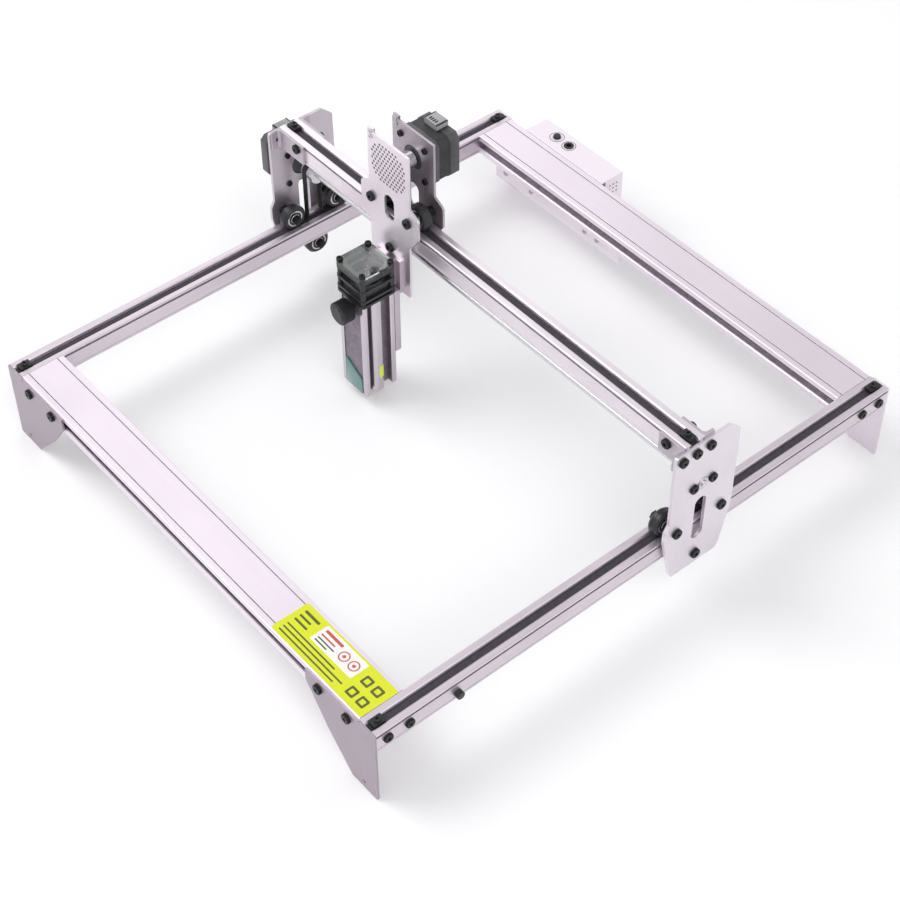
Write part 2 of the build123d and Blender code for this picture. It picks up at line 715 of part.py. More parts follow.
TOP_AXLE_X = BEAM_Z + WHEEL_LIFT
LOW_AXLE_X = BEAM_Z - WHEEL_LIFT
AXLES_X = (
    (CAR_X - X_PITCH, TOP_AXLE_X),
    (CAR_X + X_PITCH, TOP_AXLE_X),
    (CAR_X, LOW_AXLE_X),
)


def carriage_outline(low):
    """Front view of a carriage plate: tall neck above, shoulders at the wheels, tongue below."""
    half = [
        (26.2, 258.0),
        (26.2, 206.0),
        (37.3, 200.0),
        (37.3, 180.0),
        (25.5, 164.0),
        (25.5, low),
    ]
    loop = half + [(-across, rise) for across, rise in reversed(half)]
    return [(CAR_X + across, rise) for across, rise in loop]


def carriage_plate(name, near, low, motor_side):
    with BuildPart() as plate:
        with BuildSketch(Plane.XZ.offset(-near)):
            with BuildLine():
                Polyline(*carriage_outline(low), close=True)
            make_face()
            with Locations((CAR_X - 21.5, 259.0)):
                Rectangle(7.0, 5.0)
            with Locations((CAR_X, 192.0)):
                SlotOverall(25.0, 12.6, rotation=90, mode=Mode.SUBTRACT)
            with Locations(*AXLES_X):
                Circle(2.6, mode=Mode.SUBTRACT)
            with Locations((CAR_X - 21.5, 253.0), (CAR_X - 21.5, 258.4)):
                Circle(1.1, mode=Mode.SUBTRACT)
            if motor_side:
                with Locations((CAR_X, MOTOR_Z)):
                    Circle(11.1, mode=Mode.SUBTRACT)
                    with GridLocations(31.0, 31.0, 2, 2):
                        Circle(1.6, mode=Mode.SUBTRACT)
        extrude(amount=-CAR_THICK)
        sharp = plate.edges().filter_by(Axis.Y).filter_by(lambda e: abs(e.center().X - CAR_X) > 30)
        fillet(sharp, radius=4.0)
        foot = plate.edges().filter_by(Axis.Y).group_by(Axis.Z)[0]
        fillet(foot, radius=3.0)
    save(plate.part, name)


carriage_plate("carriage_front_plate", CAR_FRONT, 109.0, False)
carriage_plate("carriage_rear_plate", CAR_BACK, 138.0, True)

with BuildPart() as x_axles:
    for axle_x, axle_z in AXLES_X:
        with Locations(Location((axle_x, CAR_FRONT, axle_z), (90, 0, 0))):
            add(socket_bolt(4.5, BOLT_HEAD, AXLE_R, 30.0, 1.8))
        gap = GANTRY_Y - WHEEL_HALF - 0.35 - CAR_FRONT - CAR_THICK
        for start, way in ((CAR_FRONT + CAR_THICK, -90), (CAR_BACK, 90)):
            with Locations(Location((axle_x, start, axle_z), (way, 0, 0))):
                Cylinder(4.6, gap, align=(Align.CENTER, Align.CENTER, Align.MIN))
        with BuildSketch(Plane.XZ.offset(-CAR_BACK - CAR_THICK)):
            with Locations((axle_x, axle_z)):
                RegularPolygon(4.4, 6)
        extrude(amount=-4.0)
save(x_axles.part, "x_wheel_axles")

with BuildPart() as x_motor:
    with Locations(Location((CAR_X, CAR_BACK + CAR_THICK, MOTOR_Z), (-90, 0, 0))):
        with Locations(Location((0, 0, 0), (0, 0, 180))):
            add(nema_motor(MOTOR_LEN))
save(x_motor.part, "x_motor")

with BuildPart() as carriage_screws:
    for across in (-15.5, 15.5):
        for rise in (-15.5, 15.5):
            spot = Location((CAR_X + across, CAR_BACK, MOTOR_Z + rise), (90, 0, 0))
            with Locations(spot):
                add(socket_bolt(2.9, 2.2, 1.4, 7.0, 1.3))
    for near in (CAR_FRONT, CAR_BACK):
        for rise in (253.0, 258.4):
            with Locations(Location((CAR_X - 21.5, near, rise), (90, 0, 0))):
                add(socket_bolt(2.0, 1.2, 1.0, 3.0, 0.9))
save(carriage_screws.part, "carriage_screws")

with BuildPart() as x_loop:
    with BuildSketch(Plane.XZ.offset(-GANTRY_Y - BELT_HALF)):
        with Locations((CAR_X, MOTOR_Z)):
            add(belt_loop(MOTOR_Z - TOP_AXLE_X))
    extrude(amount=2 * BELT_HALF)
save(x_loop.part, "x_belt_loop")

# Fixed half of the focusing slide, on the tongue of the front plate
SLIDE_LOW = 64.0
SLIDE_HIGH = 144.0
with BuildPart() as slide:
    with BuildSketch(Plane.XY.offset(109.5)):
        with Locations((CAR_X, CAR_FRONT)):
            Rectangle(30.0, 2.6, align=(Align.CENTER, Align.MAX))
    extrude(amount=SLIDE_HIGH - 109.5)
    with BuildSketch(Plane.XY.offset(SLIDE_LOW)):
        with BuildLine():
            Polyline(
                (CAR_X - 9.0, CAR_FRONT - 2.6),
                (CAR_X + 9.0, CAR_FRONT - 2.6),
                (CAR_X + 12.0, CAR_FRONT - 6.2),
                (CAR_X - 12.0, CAR_FRONT - 6.2),
                close=True,
            )
        make_face()
    extrude(amount=SLIDE_HIGH - SLIDE_LOW)
save(slide.part, "focus_rail")

with BuildPart() as x_pulley:
    with Locations(Location((CAR_X, GANTRY_Y, MOTOR_Z), (90, 0, 0))):
        add(pulley())
        Cylinder(SHAFT_R, 2 * PULLEY_HALF)
    with BuildSketch(Plane.XZ.offset(-GANTRY_Y - PULLEY_HALF)):
        with Locations((CAR_X, MOTOR_Z)):
            Circle(FLANGE_R - 0.6)
    extrude(amount=-6.0)
    with BuildSketch(Plane.XZ.offset(-GANTRY_Y - PULLEY_HALF - 6.0)):
        with Locations((CAR_X, MOTOR_Z)):
            Circle(SHAFT_R)
    extrude(amount=-4.6)
save(x_pulley.part, "x_pulley")

WHEELS_X = {"left": AXLES_X[0], "right": AXLES_X[1], "lower": AXLES_X[2]}
for place_name, (axle_x, axle_z) in WHEELS_X.items():
    with BuildPart() as x_wheel:
        with Locations(Location((axle_x, GANTRY_Y, axle_z), (90, 0, 0))):
            add(v_wheel())
    save(x_wheel.part, f"x_wheel_{place_name}")

# --- Laser head -------------------------------------------------------------------------------

HEAD_BACK = HEAD_Y + HEAD / 2
HEAD_FRONT = HEAD_Y - HEAD / 2
FIN_DEEP = 6.0
GROOVES = ((7.0, 4.6), (24.9, 7.2))  # each groove's middle behind the front, and its width
RIB_ROUND = 4.4
RIB_SPAN = (9.0, 21.5)  # the round middle rib lies between these depths behind the front


def on_rib(vertex):
    return RIB_SPAN[0] < vertex.Y - HEAD_FRONT < RIB_SPAN[1]


# Square head with two cooling grooves down each flank and a shallow recess down the front
with BuildPart() as head:
    with BuildSketch(Plane.XY.offset(HEAD_LOW)) as section:
        with Locations((HEAD_X, HEAD_Y)):
            Rectangle(HEAD, HEAD)
        for flank in (-1, 1):
            wall = HEAD_X + flank * HEAD / 2
            for behind, wide in GROOVES:
                with Locations((wall, HEAD_FRONT + behind)):
                    Rectangle(2 * FIN_DEEP, wide, mode=Mode.SUBTRACT)
        outer = [v for v in section.vertices() if abs(abs(v.X - HEAD_X) - HEAD / 2) < 0.01]
        fillet([v for v in outer if on_rib(v)], radius=RIB_ROUND)
        outer = [v for v in section.vertices() if abs(abs(v.X - HEAD_X) - HEAD / 2) < 0.01]
        fillet([v for v in outer if not on_rib(v)], radius=1.2)
        with Locations((HEAD_X, HEAD_FRONT)):
            Rectangle(HEAD - 9.0, 1.6, mode=Mode.SUBTRACT)
    extrude(amount=HEAD_TOP - HEAD_LOW)
    with BuildSketch(Plane.XY.offset(HEAD_LOW)):
        with Locations((HEAD_X, HEAD_Y)):
            Circle(8.0)
    extrude(amount=9.0, mode=Mode.SUBTRACT)
    with BuildSketch(Plane.XZ.offset(-HEAD_FRONT)):
        with Locations((KNOB_X, KNOB_Z)):
            Circle(2.5 + RUNNING)
    extrude(amount=-9.0, mode=Mode.SUBTRACT)
save(head.part, "head_body")

# Moving half of the focusing slide: a block on the back of the head with a dovetail groove
with BuildPart() as shoe:
    with BuildSketch(Plane.XY.offset(46.0)):
        with Locations((CAR_X, HEAD_BACK)):
            Rectangle(30.0, CAR_FRONT - 3.3 - HEAD_BACK, align=(Align.CENTER, Align.MIN))
        with BuildLine():
            Polyline(
                (CAR_X - 9.4, CAR_FRONT - 2.0),
                (CAR_X + 9.4, CAR_FRONT - 2.0),
                (CAR_X + 12.5, CAR_FRONT - 6.6),
                (CAR_X - 12.5, CAR_FRONT - 6.6),
                close=True,
            )
        make_face(mode=Mode.SUBTRACT)
    extrude(amount=HEAD_TOP - 1.0 - 46.0)
save(shoe.part, "focus_shoe")

with BuildPart() as lens:
    with BuildSketch(Plane.XY.offset(HEAD_LOW + 1.0)):
        with Locations((HEAD_X, HEAD_Y)):
            Circle(7.9)
            Circle(4.0, mode=Mode.SUBTRACT)
    extrude(amount=8.0)
    with BuildSketch(Plane.XY.offset(HEAD_LOW + 4.0)):
        with Locations((HEAD_X, HEAD_Y)):
            Circle(4.0)
    extrude(amount=2.0)
save(lens.part, "lens_cell")

# Tinted acrylic shield between the front ribs of the head, over the beam's exit
with BuildPart() as shield:
    face = HEAD_FRONT + 0.8  # floor of the recess
    block(HEAD_X - 11.3, HEAD_X + 11.3, face - 2.2, face, HEAD_LOW, HEAD_LOW + 29.0)
save(shield.part, "beam_shield")

FAN_BASE = HEAD_TOP  # plate on top of the head
FAN_LOW = HEAD_TOP + 5.0  # fan housing, held off the head by the posts
FAN_HIGH = FAN_LOW + 13.0
COVER_LOW = HEAD_TOP + 21.0
COVER_TOP = HEAD_TOP + 33.0
FLANGE = 2.6
FAN_BORE = 14.4
FAN_HUB = 7.2
BLADES = 7
PIN_R = 1.5  # pin that the rotor turns on
# Base plate, four posts, and the fan's housing with its struts, hub and pin
with BuildPart() as fan_frame:
    for low, high, bore in (
        (FAN_BASE, FAN_BASE + 2.4, 12.6),
        (FAN_LOW, FAN_LOW + FLANGE, FAN_BORE),
        (FAN_HIGH - FLANGE, FAN_HIGH, FAN_BORE),
    ):
        with BuildSketch(Plane.XY.offset(low)):
            with Locations((HEAD_X, HEAD_Y)):
                RectangleRounded(FAN, FAN, 3.0)
                Circle(bore, mode=Mode.SUBTRACT)
        extrude(amount=high - low)
    with BuildSketch(Plane.XY.offset(FAN_LOW)):
        with Locations((HEAD_X, HEAD_Y)):
            RectangleRounded(31.0, 31.0, 6.0)
            Circle(FAN_BORE, mode=Mode.SUBTRACT)
    extrude(amount=FAN_HIGH - FAN_LOW)
    with BuildSketch(Plane.XY.offset(FAN_BASE)):
        with Locations((HEAD_X, HEAD_Y)):
            with GridLocations(2 * FAN_POST, 2 * FAN_POST, 2, 2):
                Circle(2.5)
    extrude(amount=COVER_TOP - FAN_BASE)
    with BuildSketch(Plane.XY.offset(FAN_LOW)):
        with Locations((HEAD_X, HEAD_Y)):
            Circle(FAN_HUB + 0.2)
            with PolarLocations(10.9, 4, start_angle=45):
                Rectangle(9.4, 2.0)
    extrude(amount=1.4)
    with BuildSketch(Plane.XY.offset(FAN_LOW + 1.4)):
        with Locations((HEAD_X, HEAD_Y)):
            Circle(PIN_R)
    extrude(amount=5.0)
save(fan_frame.part, "fan_frame")

with BuildPart() as rotor:
    with BuildSketch(Plane.XY.offset(FAN_LOW + 1.8)):
        with Locations((HEAD_X, HEAD_Y)):
            Circle(FAN_HUB)
    extrude(amount=10.0)
    for turn in range(BLADES):
        with Locations(Location((HEAD_X, HEAD_Y, FAN_LOW + 6.6), (0, 0, turn * 360 / BLADES))):
            with Locations(Location((10.3, 0, 0), (38, 0, 0))):
                Box(7.2, 7.6, 1.0)
    with BuildSketch(Plane.XY.offset(FAN_LOW + 1.8)):
        with Locations((HEAD_X, HEAD_Y)):
            Circle(PIN_R + RUNNING)
    extrude(amount=5.2, mode=Mode.SUBTRACT)
save(rotor.part, "fan_rotor")

# Clear block over the fan, hollow beneath, held down by the corner screws
with BuildPart() as cover:
    with BuildSketch(Plane.XY.offset(COVER_LOW)):
        with Locations((HEAD_X, HEAD_Y)):
            RectangleRounded(FAN, FAN, 3.0)
            with GridLocations(2 * FAN_POST, 2 * FAN_POST, 2, 2):
                Circle(2.6, mode=Mode.SUBTRACT)
    extrude(amount=COVER_TOP - COVER_LOW)
    with BuildSketch(Plane.XY.offset(COVER_LOW)):
        with Locations((HEAD_X, HEAD_Y)):
            Circle(15.0)
    extrude(amount=COVER_TOP - COVER_LOW - 2.4, mode=Mode.SUBTRACT)
save(cover.part, "fan_cover")

with BuildPart() as head_screws:
    for across in (-FAN_POST, FAN_POST):
        for along in (-FAN_POST, FAN_POST):
            with Locations((HEAD_X + across, HEAD_Y + along, COVER_TOP)):
                add(socket_bolt(2.9, 2.2, 1.2, 0.0, 1.3))
save(head_screws.part, "head_screws")

KNOB_GAP = 2.4  # back of the knob in front of the head
with BuildPart() as knob:
    with BuildSketch(Plane.XZ.offset(-HEAD_FRONT + KNOB_GAP)):
        with Locations((KNOB_X, KNOB_Z)):
            Circle(10.5)
            with PolarLocations(10.7, 24):
                Circle(0.7, mode=Mode.SUBTRACT)
    extrude(amount=12.0)
    with BuildSketch(Plane.XZ.offset(-HEAD_FRONT + KNOB_GAP + 12.0)):
        with Locations((KNOB_X, KNOB_Z)):
            Circle(7.0)
    extrude(amount=1.2)
    with BuildSketch(Plane.XZ.offset(-HEAD_FRONT + KNOB_GAP)):
        with Locations((KNOB_X, KNOB_Z)):
            Circle(2.5)
    extrude(amount=-8.0 - KNOB_GAP)
save(knob.part, "focus_knob")
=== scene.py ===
"""Look of the desktop laser cutter: materials, detailed pieces, camera, floor and light."""

import json
import math

import bmesh
import bpy
from mathutils import Matrix, Vector


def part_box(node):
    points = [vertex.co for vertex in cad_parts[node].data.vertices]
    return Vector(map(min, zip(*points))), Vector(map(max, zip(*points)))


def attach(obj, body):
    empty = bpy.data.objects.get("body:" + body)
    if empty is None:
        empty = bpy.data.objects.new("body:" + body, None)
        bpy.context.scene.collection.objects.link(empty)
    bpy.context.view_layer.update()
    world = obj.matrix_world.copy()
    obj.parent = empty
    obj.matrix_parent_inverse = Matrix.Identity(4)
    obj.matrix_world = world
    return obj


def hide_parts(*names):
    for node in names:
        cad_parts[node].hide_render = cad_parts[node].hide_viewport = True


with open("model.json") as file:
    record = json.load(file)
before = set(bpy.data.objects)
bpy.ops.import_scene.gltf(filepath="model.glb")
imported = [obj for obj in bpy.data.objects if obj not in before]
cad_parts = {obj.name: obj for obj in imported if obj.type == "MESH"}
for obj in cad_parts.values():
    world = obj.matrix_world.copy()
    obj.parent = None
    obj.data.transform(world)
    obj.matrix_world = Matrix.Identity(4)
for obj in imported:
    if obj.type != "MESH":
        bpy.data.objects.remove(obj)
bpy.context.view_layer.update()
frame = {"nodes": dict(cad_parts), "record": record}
nodes = frame["nodes"]
MM = 0.001
X_AXIS, Y_AXIS, Z_AXIS = (1, 0, 0), (0, 1, 0), (0, 0, 1)


def node_box(node):
    """Lowest corner, highest corner and centre of a CAD node at rest, in metres."""
    low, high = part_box(node)
    return low, high, (low + high) / 2


def link(name, data):
    made = bpy.data.objects.new(name, data)
    bpy.context.scene.collection.objects.link(made)
    return made


# --- Camera and light ------------------------------------------------------------------------

CAMERA_AT = Vector((0.93217, -0.76962, 1.2557))
CAMERA_AZIMUTH = math.radians(50.31)
CAMERA_RISE = math.radians(46.74)
CAMERA_ROLL = math.radians(-0.29)
CAMERA_LENS = 80.44
CAMERA_SENSOR = 36.0
CAMERA_NEAR, CAMERA_FAR = 0.05, 40.0

# Name, place, aim, width and height in metres, and watts
LIGHTS = (
    ("key", (-1.5, -1.2, 2.8), (0.1, 0.0, 0.05), (1.8, 1.8), 46.0),
    ("left_panel", (-2.15, 1.30, 2.0), (0.0, 0.0, 0.05), (1.2, 2.5), 5.5),
    ("fill", (2.2, -0.5, 2.4), (0.4, 0.1, 0.05), (2.0, 2.0), 28.0),
)

# Brightness of the studio from straight down (0) over the horizon (0.5) to straight up (1)
SKY = ((0.0, 1.0), (0.55, 0.95), (0.67, 1.0), (0.78, 0.45), (1.0, 0.5))
SKY_BLUE = 1.01

FLOOR_HALF = 15.0
FLOOR_AT = -0.0002


def make_camera():
    lens = bpy.data.cameras.new("camera")
    lens.lens = CAMERA_LENS
    lens.sensor_width = CAMERA_SENSOR
    lens.clip_start, lens.clip_end = CAMERA_NEAR, CAMERA_FAR
    camera = link("camera", lens)
    a, e = CAMERA_AZIMUTH, CAMERA_RISE
    back = Vector((math.sin(a) * math.cos(e), -math.cos(a) * math.cos(e), math.sin(e)))
    level = Vector((math.cos(a), math.sin(a), 0.0))
    right = Matrix.Rotation(CAMERA_ROLL, 3, back) @ level
    turned = Matrix((right, back.cross(right), back)).transposed().to_4x4()
    camera.matrix_world = Matrix.Translation(CAMERA_AT) @ turned
    bpy.context.scene.camera = camera


def make_light(name, at, towards, size, watts):
    lamp = bpy.data.lights.new(name, "AREA")
    lamp.shape = "RECTANGLE"
    lamp.size, lamp.size_y = size
    lamp.energy = watts
    light = link(name, lamp)
    light.location = at
    light.rotation_mode = "QUATERNION"
    light.rotation_quaternion = (Vector(towards) - Vector(at)).to_track_quat("-Z", "Y")


def make_world():
    world = bpy.data.worlds.new("studio")
    world.use_nodes = True
    tree = world.node_tree
    background = tree.nodes["Background"]
    background.inputs["Strength"].default_value = 1.0
    coords = tree.nodes.new("ShaderNodeTexCoord")
    split = tree.nodes.new("ShaderNodeSeparateXYZ")
    ramp = tree.nodes.new("ShaderNodeValToRGB")
    tree.links.new(coords.outputs["Generated"], split.inputs[0])
    tree.links.new(split.outputs["Z"], ramp.inputs["Fac"])
    tree.links.new(ramp.outputs["Color"], background.inputs["Color"])
    stops = ramp.color_ramp.elements
    while len(stops) < len(SKY):
        stops.new(0.5)
    for stop, (height, level) in zip(stops, SKY):
        stop.position, stop.color = height, (level, level, level * SKY_BLUE, 1.0)
    bpy.context.scene.world = world


# --- Materials -------------------------------------------------------------------------------


def rgba(colour):
    """A colour as a socket takes it: a link as it is, three numbers with an alpha."""
    return colour if isinstance(colour, bpy.types.NodeSocket) else (*colour, 1.0)


LOOK = {}
# Where the dark and the light patches of a noise lie, from 0 to 1
NOISE_LOW, NOISE_HIGH = 0.3, 0.7
# Cosine between a face and its rounded edge, where the wear starts and where it is full
WEAR_STARTS, WEAR_FULL = 0.995, 0.90


class Finish:
    """A procedural material being wired, with object coordinates in metres."""

    def __init__(self, name, **uniform):
        self.name = name
        self.material = bpy.data.materials.new(name)
        self.material.use_nodes = True
        self.tree = self.material.node_tree
        self.tree.nodes.clear()
        out = self.add("ShaderNodeOutputMaterial")
        self.shader = self.add("ShaderNodeBsdfPrincipled")
        self.tree.links.new(self.shader.outputs[0], out.inputs["Surface"])
        self.point = self.add("ShaderNodeTexCoord").outputs["Object"]
        for key, value in uniform.items():
            self.shader.inputs[key.replace("_", " ")].default_value = value

    def add(self, kind, **settings):
        node = self.tree.nodes.new(kind)
        for key, value in settings.items():
            setattr(node, key, value)
        return node

    def feed(self, node, **sources):
        """Link or set inputs, by name (Base_Color) or by number (_0), and give the first output."""
        for key, value in sources.items():
            socket = node.inputs[int(key[1:]) if key[0] == "_" else key.replace("_", " ")]
            if isinstance(value, bpy.types.NodeSocket):
                self.tree.links.new(value, socket)
            else:
                socket.default_value = value
        return node.outputs[0]

    def noise(self, scale, detail=3.0, rough=0.55):
        """Noise whose features are 1 / scale metres, one figure or one per axis."""
        if not hasattr(scale, "__len__"):
            scale = (scale,) * 3
        vector = self.feed(self.add("ShaderNodeMapping"), Vector=self.point, Scale=scale)
        node = self.add("ShaderNodeTexNoise")
        return self.feed(node, Vector=vector, Scale=1.0, Detail=detail, Roughness=rough)

    def calc(self, kind, a, b=0.0, c=0.0):
        return self.feed(self.add("ShaderNodeMath", operation=kind), _0=a, _1=b, _2=c)

    def times(self, a, b):
        return self.calc("MULTIPLY", a, b)

    def blend(self, first, first_share, second, second_share):
        """Weighted sum of two values."""
        return self.calc("ADD", self.times(first, first_share), self.times(second, second_share))

    def spread(self, value, low, high, out_low, out_high):
        """The value carried from one range to another, and held at its ends."""
        node = self.add("ShaderNodeMapRange", clamp=True)
        return self.feed(
            node, Value=value, From_Min=low, From_Max=high, To_Min=out_low, To_Max=out_high
        )

    def sheen(self, value, smooth, rough):
        """Roughness between two figures, after a noise."""
        return self.spread(value, NOISE_LOW, NOISE_HIGH, smooth, rough)

    def tones(self, value, dark, light, low=NOISE_LOW, high=NOISE_HIGH):
        """Colour between two tones, after a noise."""
        node = self.add("ShaderNodeValToRGB")
        first, second = node.color_ramp.elements
        first.position, first.color = low, rgba(dark)
        second.position, second.color = high, rgba(light)
        return self.feed(node, Fac=value)

    def mix(self, share, first, second):
        node = self.add("ShaderNodeMix", data_type="RGBA")
        self.feed(node, _0=share, _6=rgba(first), _7=rgba(second))
        return node.outputs[2]

    def axes(self):
        split = self.add("ShaderNodeSeparateXYZ")
        self.feed(split, Vector=self.point)
        return dict(zip("xyz", split.outputs))

    def edges(self, radius):
        """1 on the rounding that the edges would have, 0 on flats, and the rounded normal."""
        normal = self.feed(self.add("ShaderNodeBevel", samples=4), Radius=radius)
        flat = self.add("ShaderNodeNewGeometry").outputs["Normal"]
        dot = self.add("ShaderNodeVectorMath", operation="DOT_PRODUCT")
        self.feed(dot, _0=normal, _1=flat)
        return self.spread(dot.outputs["Value"], WEAR_STARTS, WEAR_FULL, 0.0, 1.0), normal

    def bump(self, height, depth, normal=None):
        node = self.add("ShaderNodeBump")
        self.feed(node, Height=height, Distance=depth, Strength=1.0)
        if normal is not None:
            self.tree.links.new(normal, node.inputs["Normal"])
        return node.outputs[0]

    def inside(self, boxes):
        """1 inside any of the boxes, each given as {axis: (low, high)} in metres."""
        at = self.axes()
        total = None
        for limits in boxes:
            share = None
            for axis, (low, high) in limits.items():
                within = self.calc("COMPARE", at[axis], (low + high) / 2, (high - low) / 2)
                share = within if share is None else self.times(share, within)
            total = share if total is None else self.calc("MAXIMUM", total, share)
        return total

    def surface(self, **sources):
        """Wire the shader, and keep the material under its name."""
        self.feed(self.shader, **sources)
        LOOK[self.name] = self.material


SHEET_EDGE, SCREW_EDGE, MOULDED_EDGE = 0.00035, 0.0002, 0.0003
RUBBED_ALUMINIUM = (0.90, 0.86, 0.90)
RUBBED_STEEL = (0.16, 0.155, 0.16)
PLATED_STEEL = (0.56, 0.55, 0.57)
# Tint of the painted shade in grooves, scaled by each finish's shade level
GROOVE_SHADE_TINT = (1.0, 0.86, 1.04)


def anodised(name, dark, light, along=None, rough=(0.30, 0.44), metal=0.92, grooves=(), groove_shade=0.22):
    """Satin anodised aluminium. along is the axis of its drawing lines, or None for blasted sheet.
    Inside the boxes of grooves it is rougher, and its colour is darkened with painted shade."""
    f = Finish(name, Metallic=metal, IOR=1.5)
    edge, rounding = f.edges(SHEET_EDGE)
    cloud = f.noise(9.0, detail=2.0)
    grain = f.noise(2600.0, detail=1.0)
    if along is None:
        streak = f.noise((900.0, 900.0, 700.0), detail=2.0)
    else:
        streak = f.noise(tuple(7.0 if axis == along else 1900.0 for axis in "xyz"), rough=0.6)
    colour = f.tones(f.blend(cloud, 0.55, streak, 0.45), dark, light, 0.32, 0.68)
    worn = f.times(edge, f.spread(f.noise(160.0), 0.42, 0.62, 0.15, 0.55))
    colour = f.mix(worn, colour, RUBBED_ALUMINIUM)
    roughness = f.sheen(f.blend(streak, 0.6, cloud, 0.4), *rough)
    # Painted shade: inside the groove boxes the colour is darkened towards the shade tint, patchy
    # by a noise
    if grooves:
        deep = f.inside(grooves)
        shade_patches = f.spread(f.noise(240.0), NOISE_LOW, NOISE_HIGH, 0.8, 1.0)
        colour = f.mix(f.times(deep, shade_patches), colour, tuple(groove_shade * tint for tint in GROOVE_SHADE_TINT))
        roughness = f.calc("ADD", roughness, f.times(deep, 0.25))
    normal = f.bump(f.blend(streak, 0.7, grain, 0.3), 0.000012, rounding)
    f.surface(Base_Color=colour, Roughness=roughness, Normal=normal)


def oxide(name, plated_above=None):
    """Blackened steel of screws, rubbed along the edges. Above a height screws are plated."""
    f = Finish(name, Metallic=0.75)
    edge, rounding = f.edges(SCREW_EDGE)
    cloud = f.noise(420.0)
    worn = f.times(edge, f.spread(cloud, 0.40, 0.65, 0.1, 0.9))
    black = f.tones(cloud, (0.012, 0.012, 0.013), (0.028, 0.028, 0.031))
    colour = f.mix(worn, black, RUBBED_STEEL)
    if plated_above:
        plated = f.inside([{"z": (plated_above, plated_above + 0.05)}])
        colour = f.mix(plated, colour, PLATED_STEEL)
    f.surface(
        Base_Color=colour,
        Roughness=f.sheen(f.noise(1500.0), 0.30, 0.48),
        Normal=f.bump(f.noise(2400.0), 0.00001, rounding),
    )


def bright_steel(name):
    """Turned or ground steel with fine lines."""
    f = Finish(name, Metallic=1.0)
    lines = f.noise((3200.0, 900.0, 900.0), detail=2.0)
    f.surface(
        Base_Color=f.tones(lines, (0.55, 0.55, 0.57), (0.78, 0.78, 0.80)),
        Roughness=f.sheen(lines, 0.16, 0.32),
        Normal=f.bump(lines, 0.000008, f.edges(SCREW_EDGE)[1]),
    )


def plastic(name, dark, light, rough=(0.38, 0.55), grain=1400.0):
    """Moulded plastic with a spark-eroded skin."""
    f = Finish(name, Specular_IOR_Level=0.45)
    skin = f.noise(grain, detail=2.0)
    f.surface(
        Base_Color=f.tones(f.noise(60.0), dark, light),
        Roughness=f.sheen(skin, *rough),
        Normal=f.bump(skin, 0.00002, f.edges(MOULDED_EDGE)[1]),
    )


def ribbed_rubber(name, axis, pitch=0.002):
    """Black rubber with fine cross ribs along one axis."""
    f = Finish(name, Specular_IOR_Level=0.35)
    cloud = f.noise(300.0)
    ribs = f.calc("SINE", f.times(f.axes()[axis], math.tau / pitch))
    skin = f.calc("ADD", f.times(ribs, 0.6), f.noise(2600.0))
    f.surface(
        Base_Color=f.tones(cloud, (0.030, 0.025, 0.032), (0.054, 0.046, 0.057)),
        Roughness=f.sheen(cloud, 0.50, 0.72),
        Normal=f.bump(skin, 0.00012),
    )


def clear_acrylic(name, dark, light, rough, transmission, coat=0.3):
    """Cast acrylic: faint scratches and a little dust in its gloss."""
    f = Finish(
        name, Transmission_Weight=transmission, IOR=1.49, Coat_Weight=coat, Coat_Roughness=0.03
    )
    edge, rounding = f.edges(MOULDED_EDGE)
    haze = f.blend(f.noise(500.0, detail=4.0), 0.5, edge, 0.25)
    f.surface(
        Base_Color=f.tones(f.noise(70.0), dark, light),
        Roughness=f.spread(haze, 0.2, 0.6, *rough),
        Normal=f.bump(f.noise((250.0, 4200.0, 400.0), detail=2.0), 0.000004, rounding),
    )


def ink(name, tone):
    """Thin printed ink, slightly uneven."""
    f = Finish(name, Specular_IOR_Level=0.4)
    cloud = f.noise(900.0)
    f.surface(
        Base_Color=f.tones(cloud, tuple(0.88 * c for c in tone), tone),
        Roughness=f.sheen(cloud, 0.35, 0.5),
        Normal=f.bump(f.noise(3500.0), 0.000006),
    )


# The boxes below mark the grooves, slots, lines and the head's front panel that anodised() darkens
# with painted shade
# Depths of grooves below the face they are cut in, from just under the skin, in metres
PROFILE_HALF, BEAM_HALF = 0.010, 0.020
SLOT = (0.0010, 0.0062)
SLOT_HALF, BEAM_SLOT_HALF = 0.0045, 0.0056
SIDE_LINE, SIDE_LINE_BELOW_TOP = (0.0003, 0.0018), (0.0016, 0.0040)
TOP_LINE, TOP_LINE_AT, TOP_LINE_HALF = (0.0002, 0.0012), 0.014, 0.0005
# How far each groove of the head lies behind its front, and how wide it is
HEAD_GROOVES = ((0.0070, 0.0046), (0.0249, 0.0072))
HEAD_GROOVE, HEAD_GROOVE_SLACK = (0.0009, 0.0065), 0.0001
HEAD_PANEL, HEAD_PANEL_MARGIN = (0.0003, 0.0012), 0.0044


def into(face, depths, outward):
    """The span between two depths below a face that looks along +axis (1) or -axis (-1)."""
    return sorted(face - outward * depth for depth in depths)


def about(middle, half):
    return middle - half, middle + half


def profile_grooves(node, across):
    """The top and bottom slots and the side lines of a square profile that lies level."""
    low, high, centre = node_box(node)
    middle = centre["xyz".index(across)]
    slot = about(middle, SLOT_HALF)
    boxes = [{across: slot, "z": into(high.z, SLOT, 1)}, {across: slot, "z": into(low.z, SLOT, -1)}]
    for side in (-1, 1):
        line = into(middle + side * PROFILE_HALF, SIDE_LINE, side)
        boxes.append({across: line, "z": into(high.z, SIDE_LINE_BELOW_TOP, 1)})
    return boxes


def beam_grooves(node):
    """The slot along each edge of a wide beam and the two lines along its top."""
    low, high, centre = node_box(node)
    boxes = []
    for side in (-1, 1):
        slot = into(centre.y + side * BEAM_HALF, SLOT, side)
        line = about(centre.y + side * TOP_LINE_AT, TOP_LINE_HALF)
        boxes.append({"y": slot, "z": about(centre.z, BEAM_SLOT_HALF)})
        boxes.append({"y": line, "z": into(high.z, TOP_LINE, 1)})
    return boxes


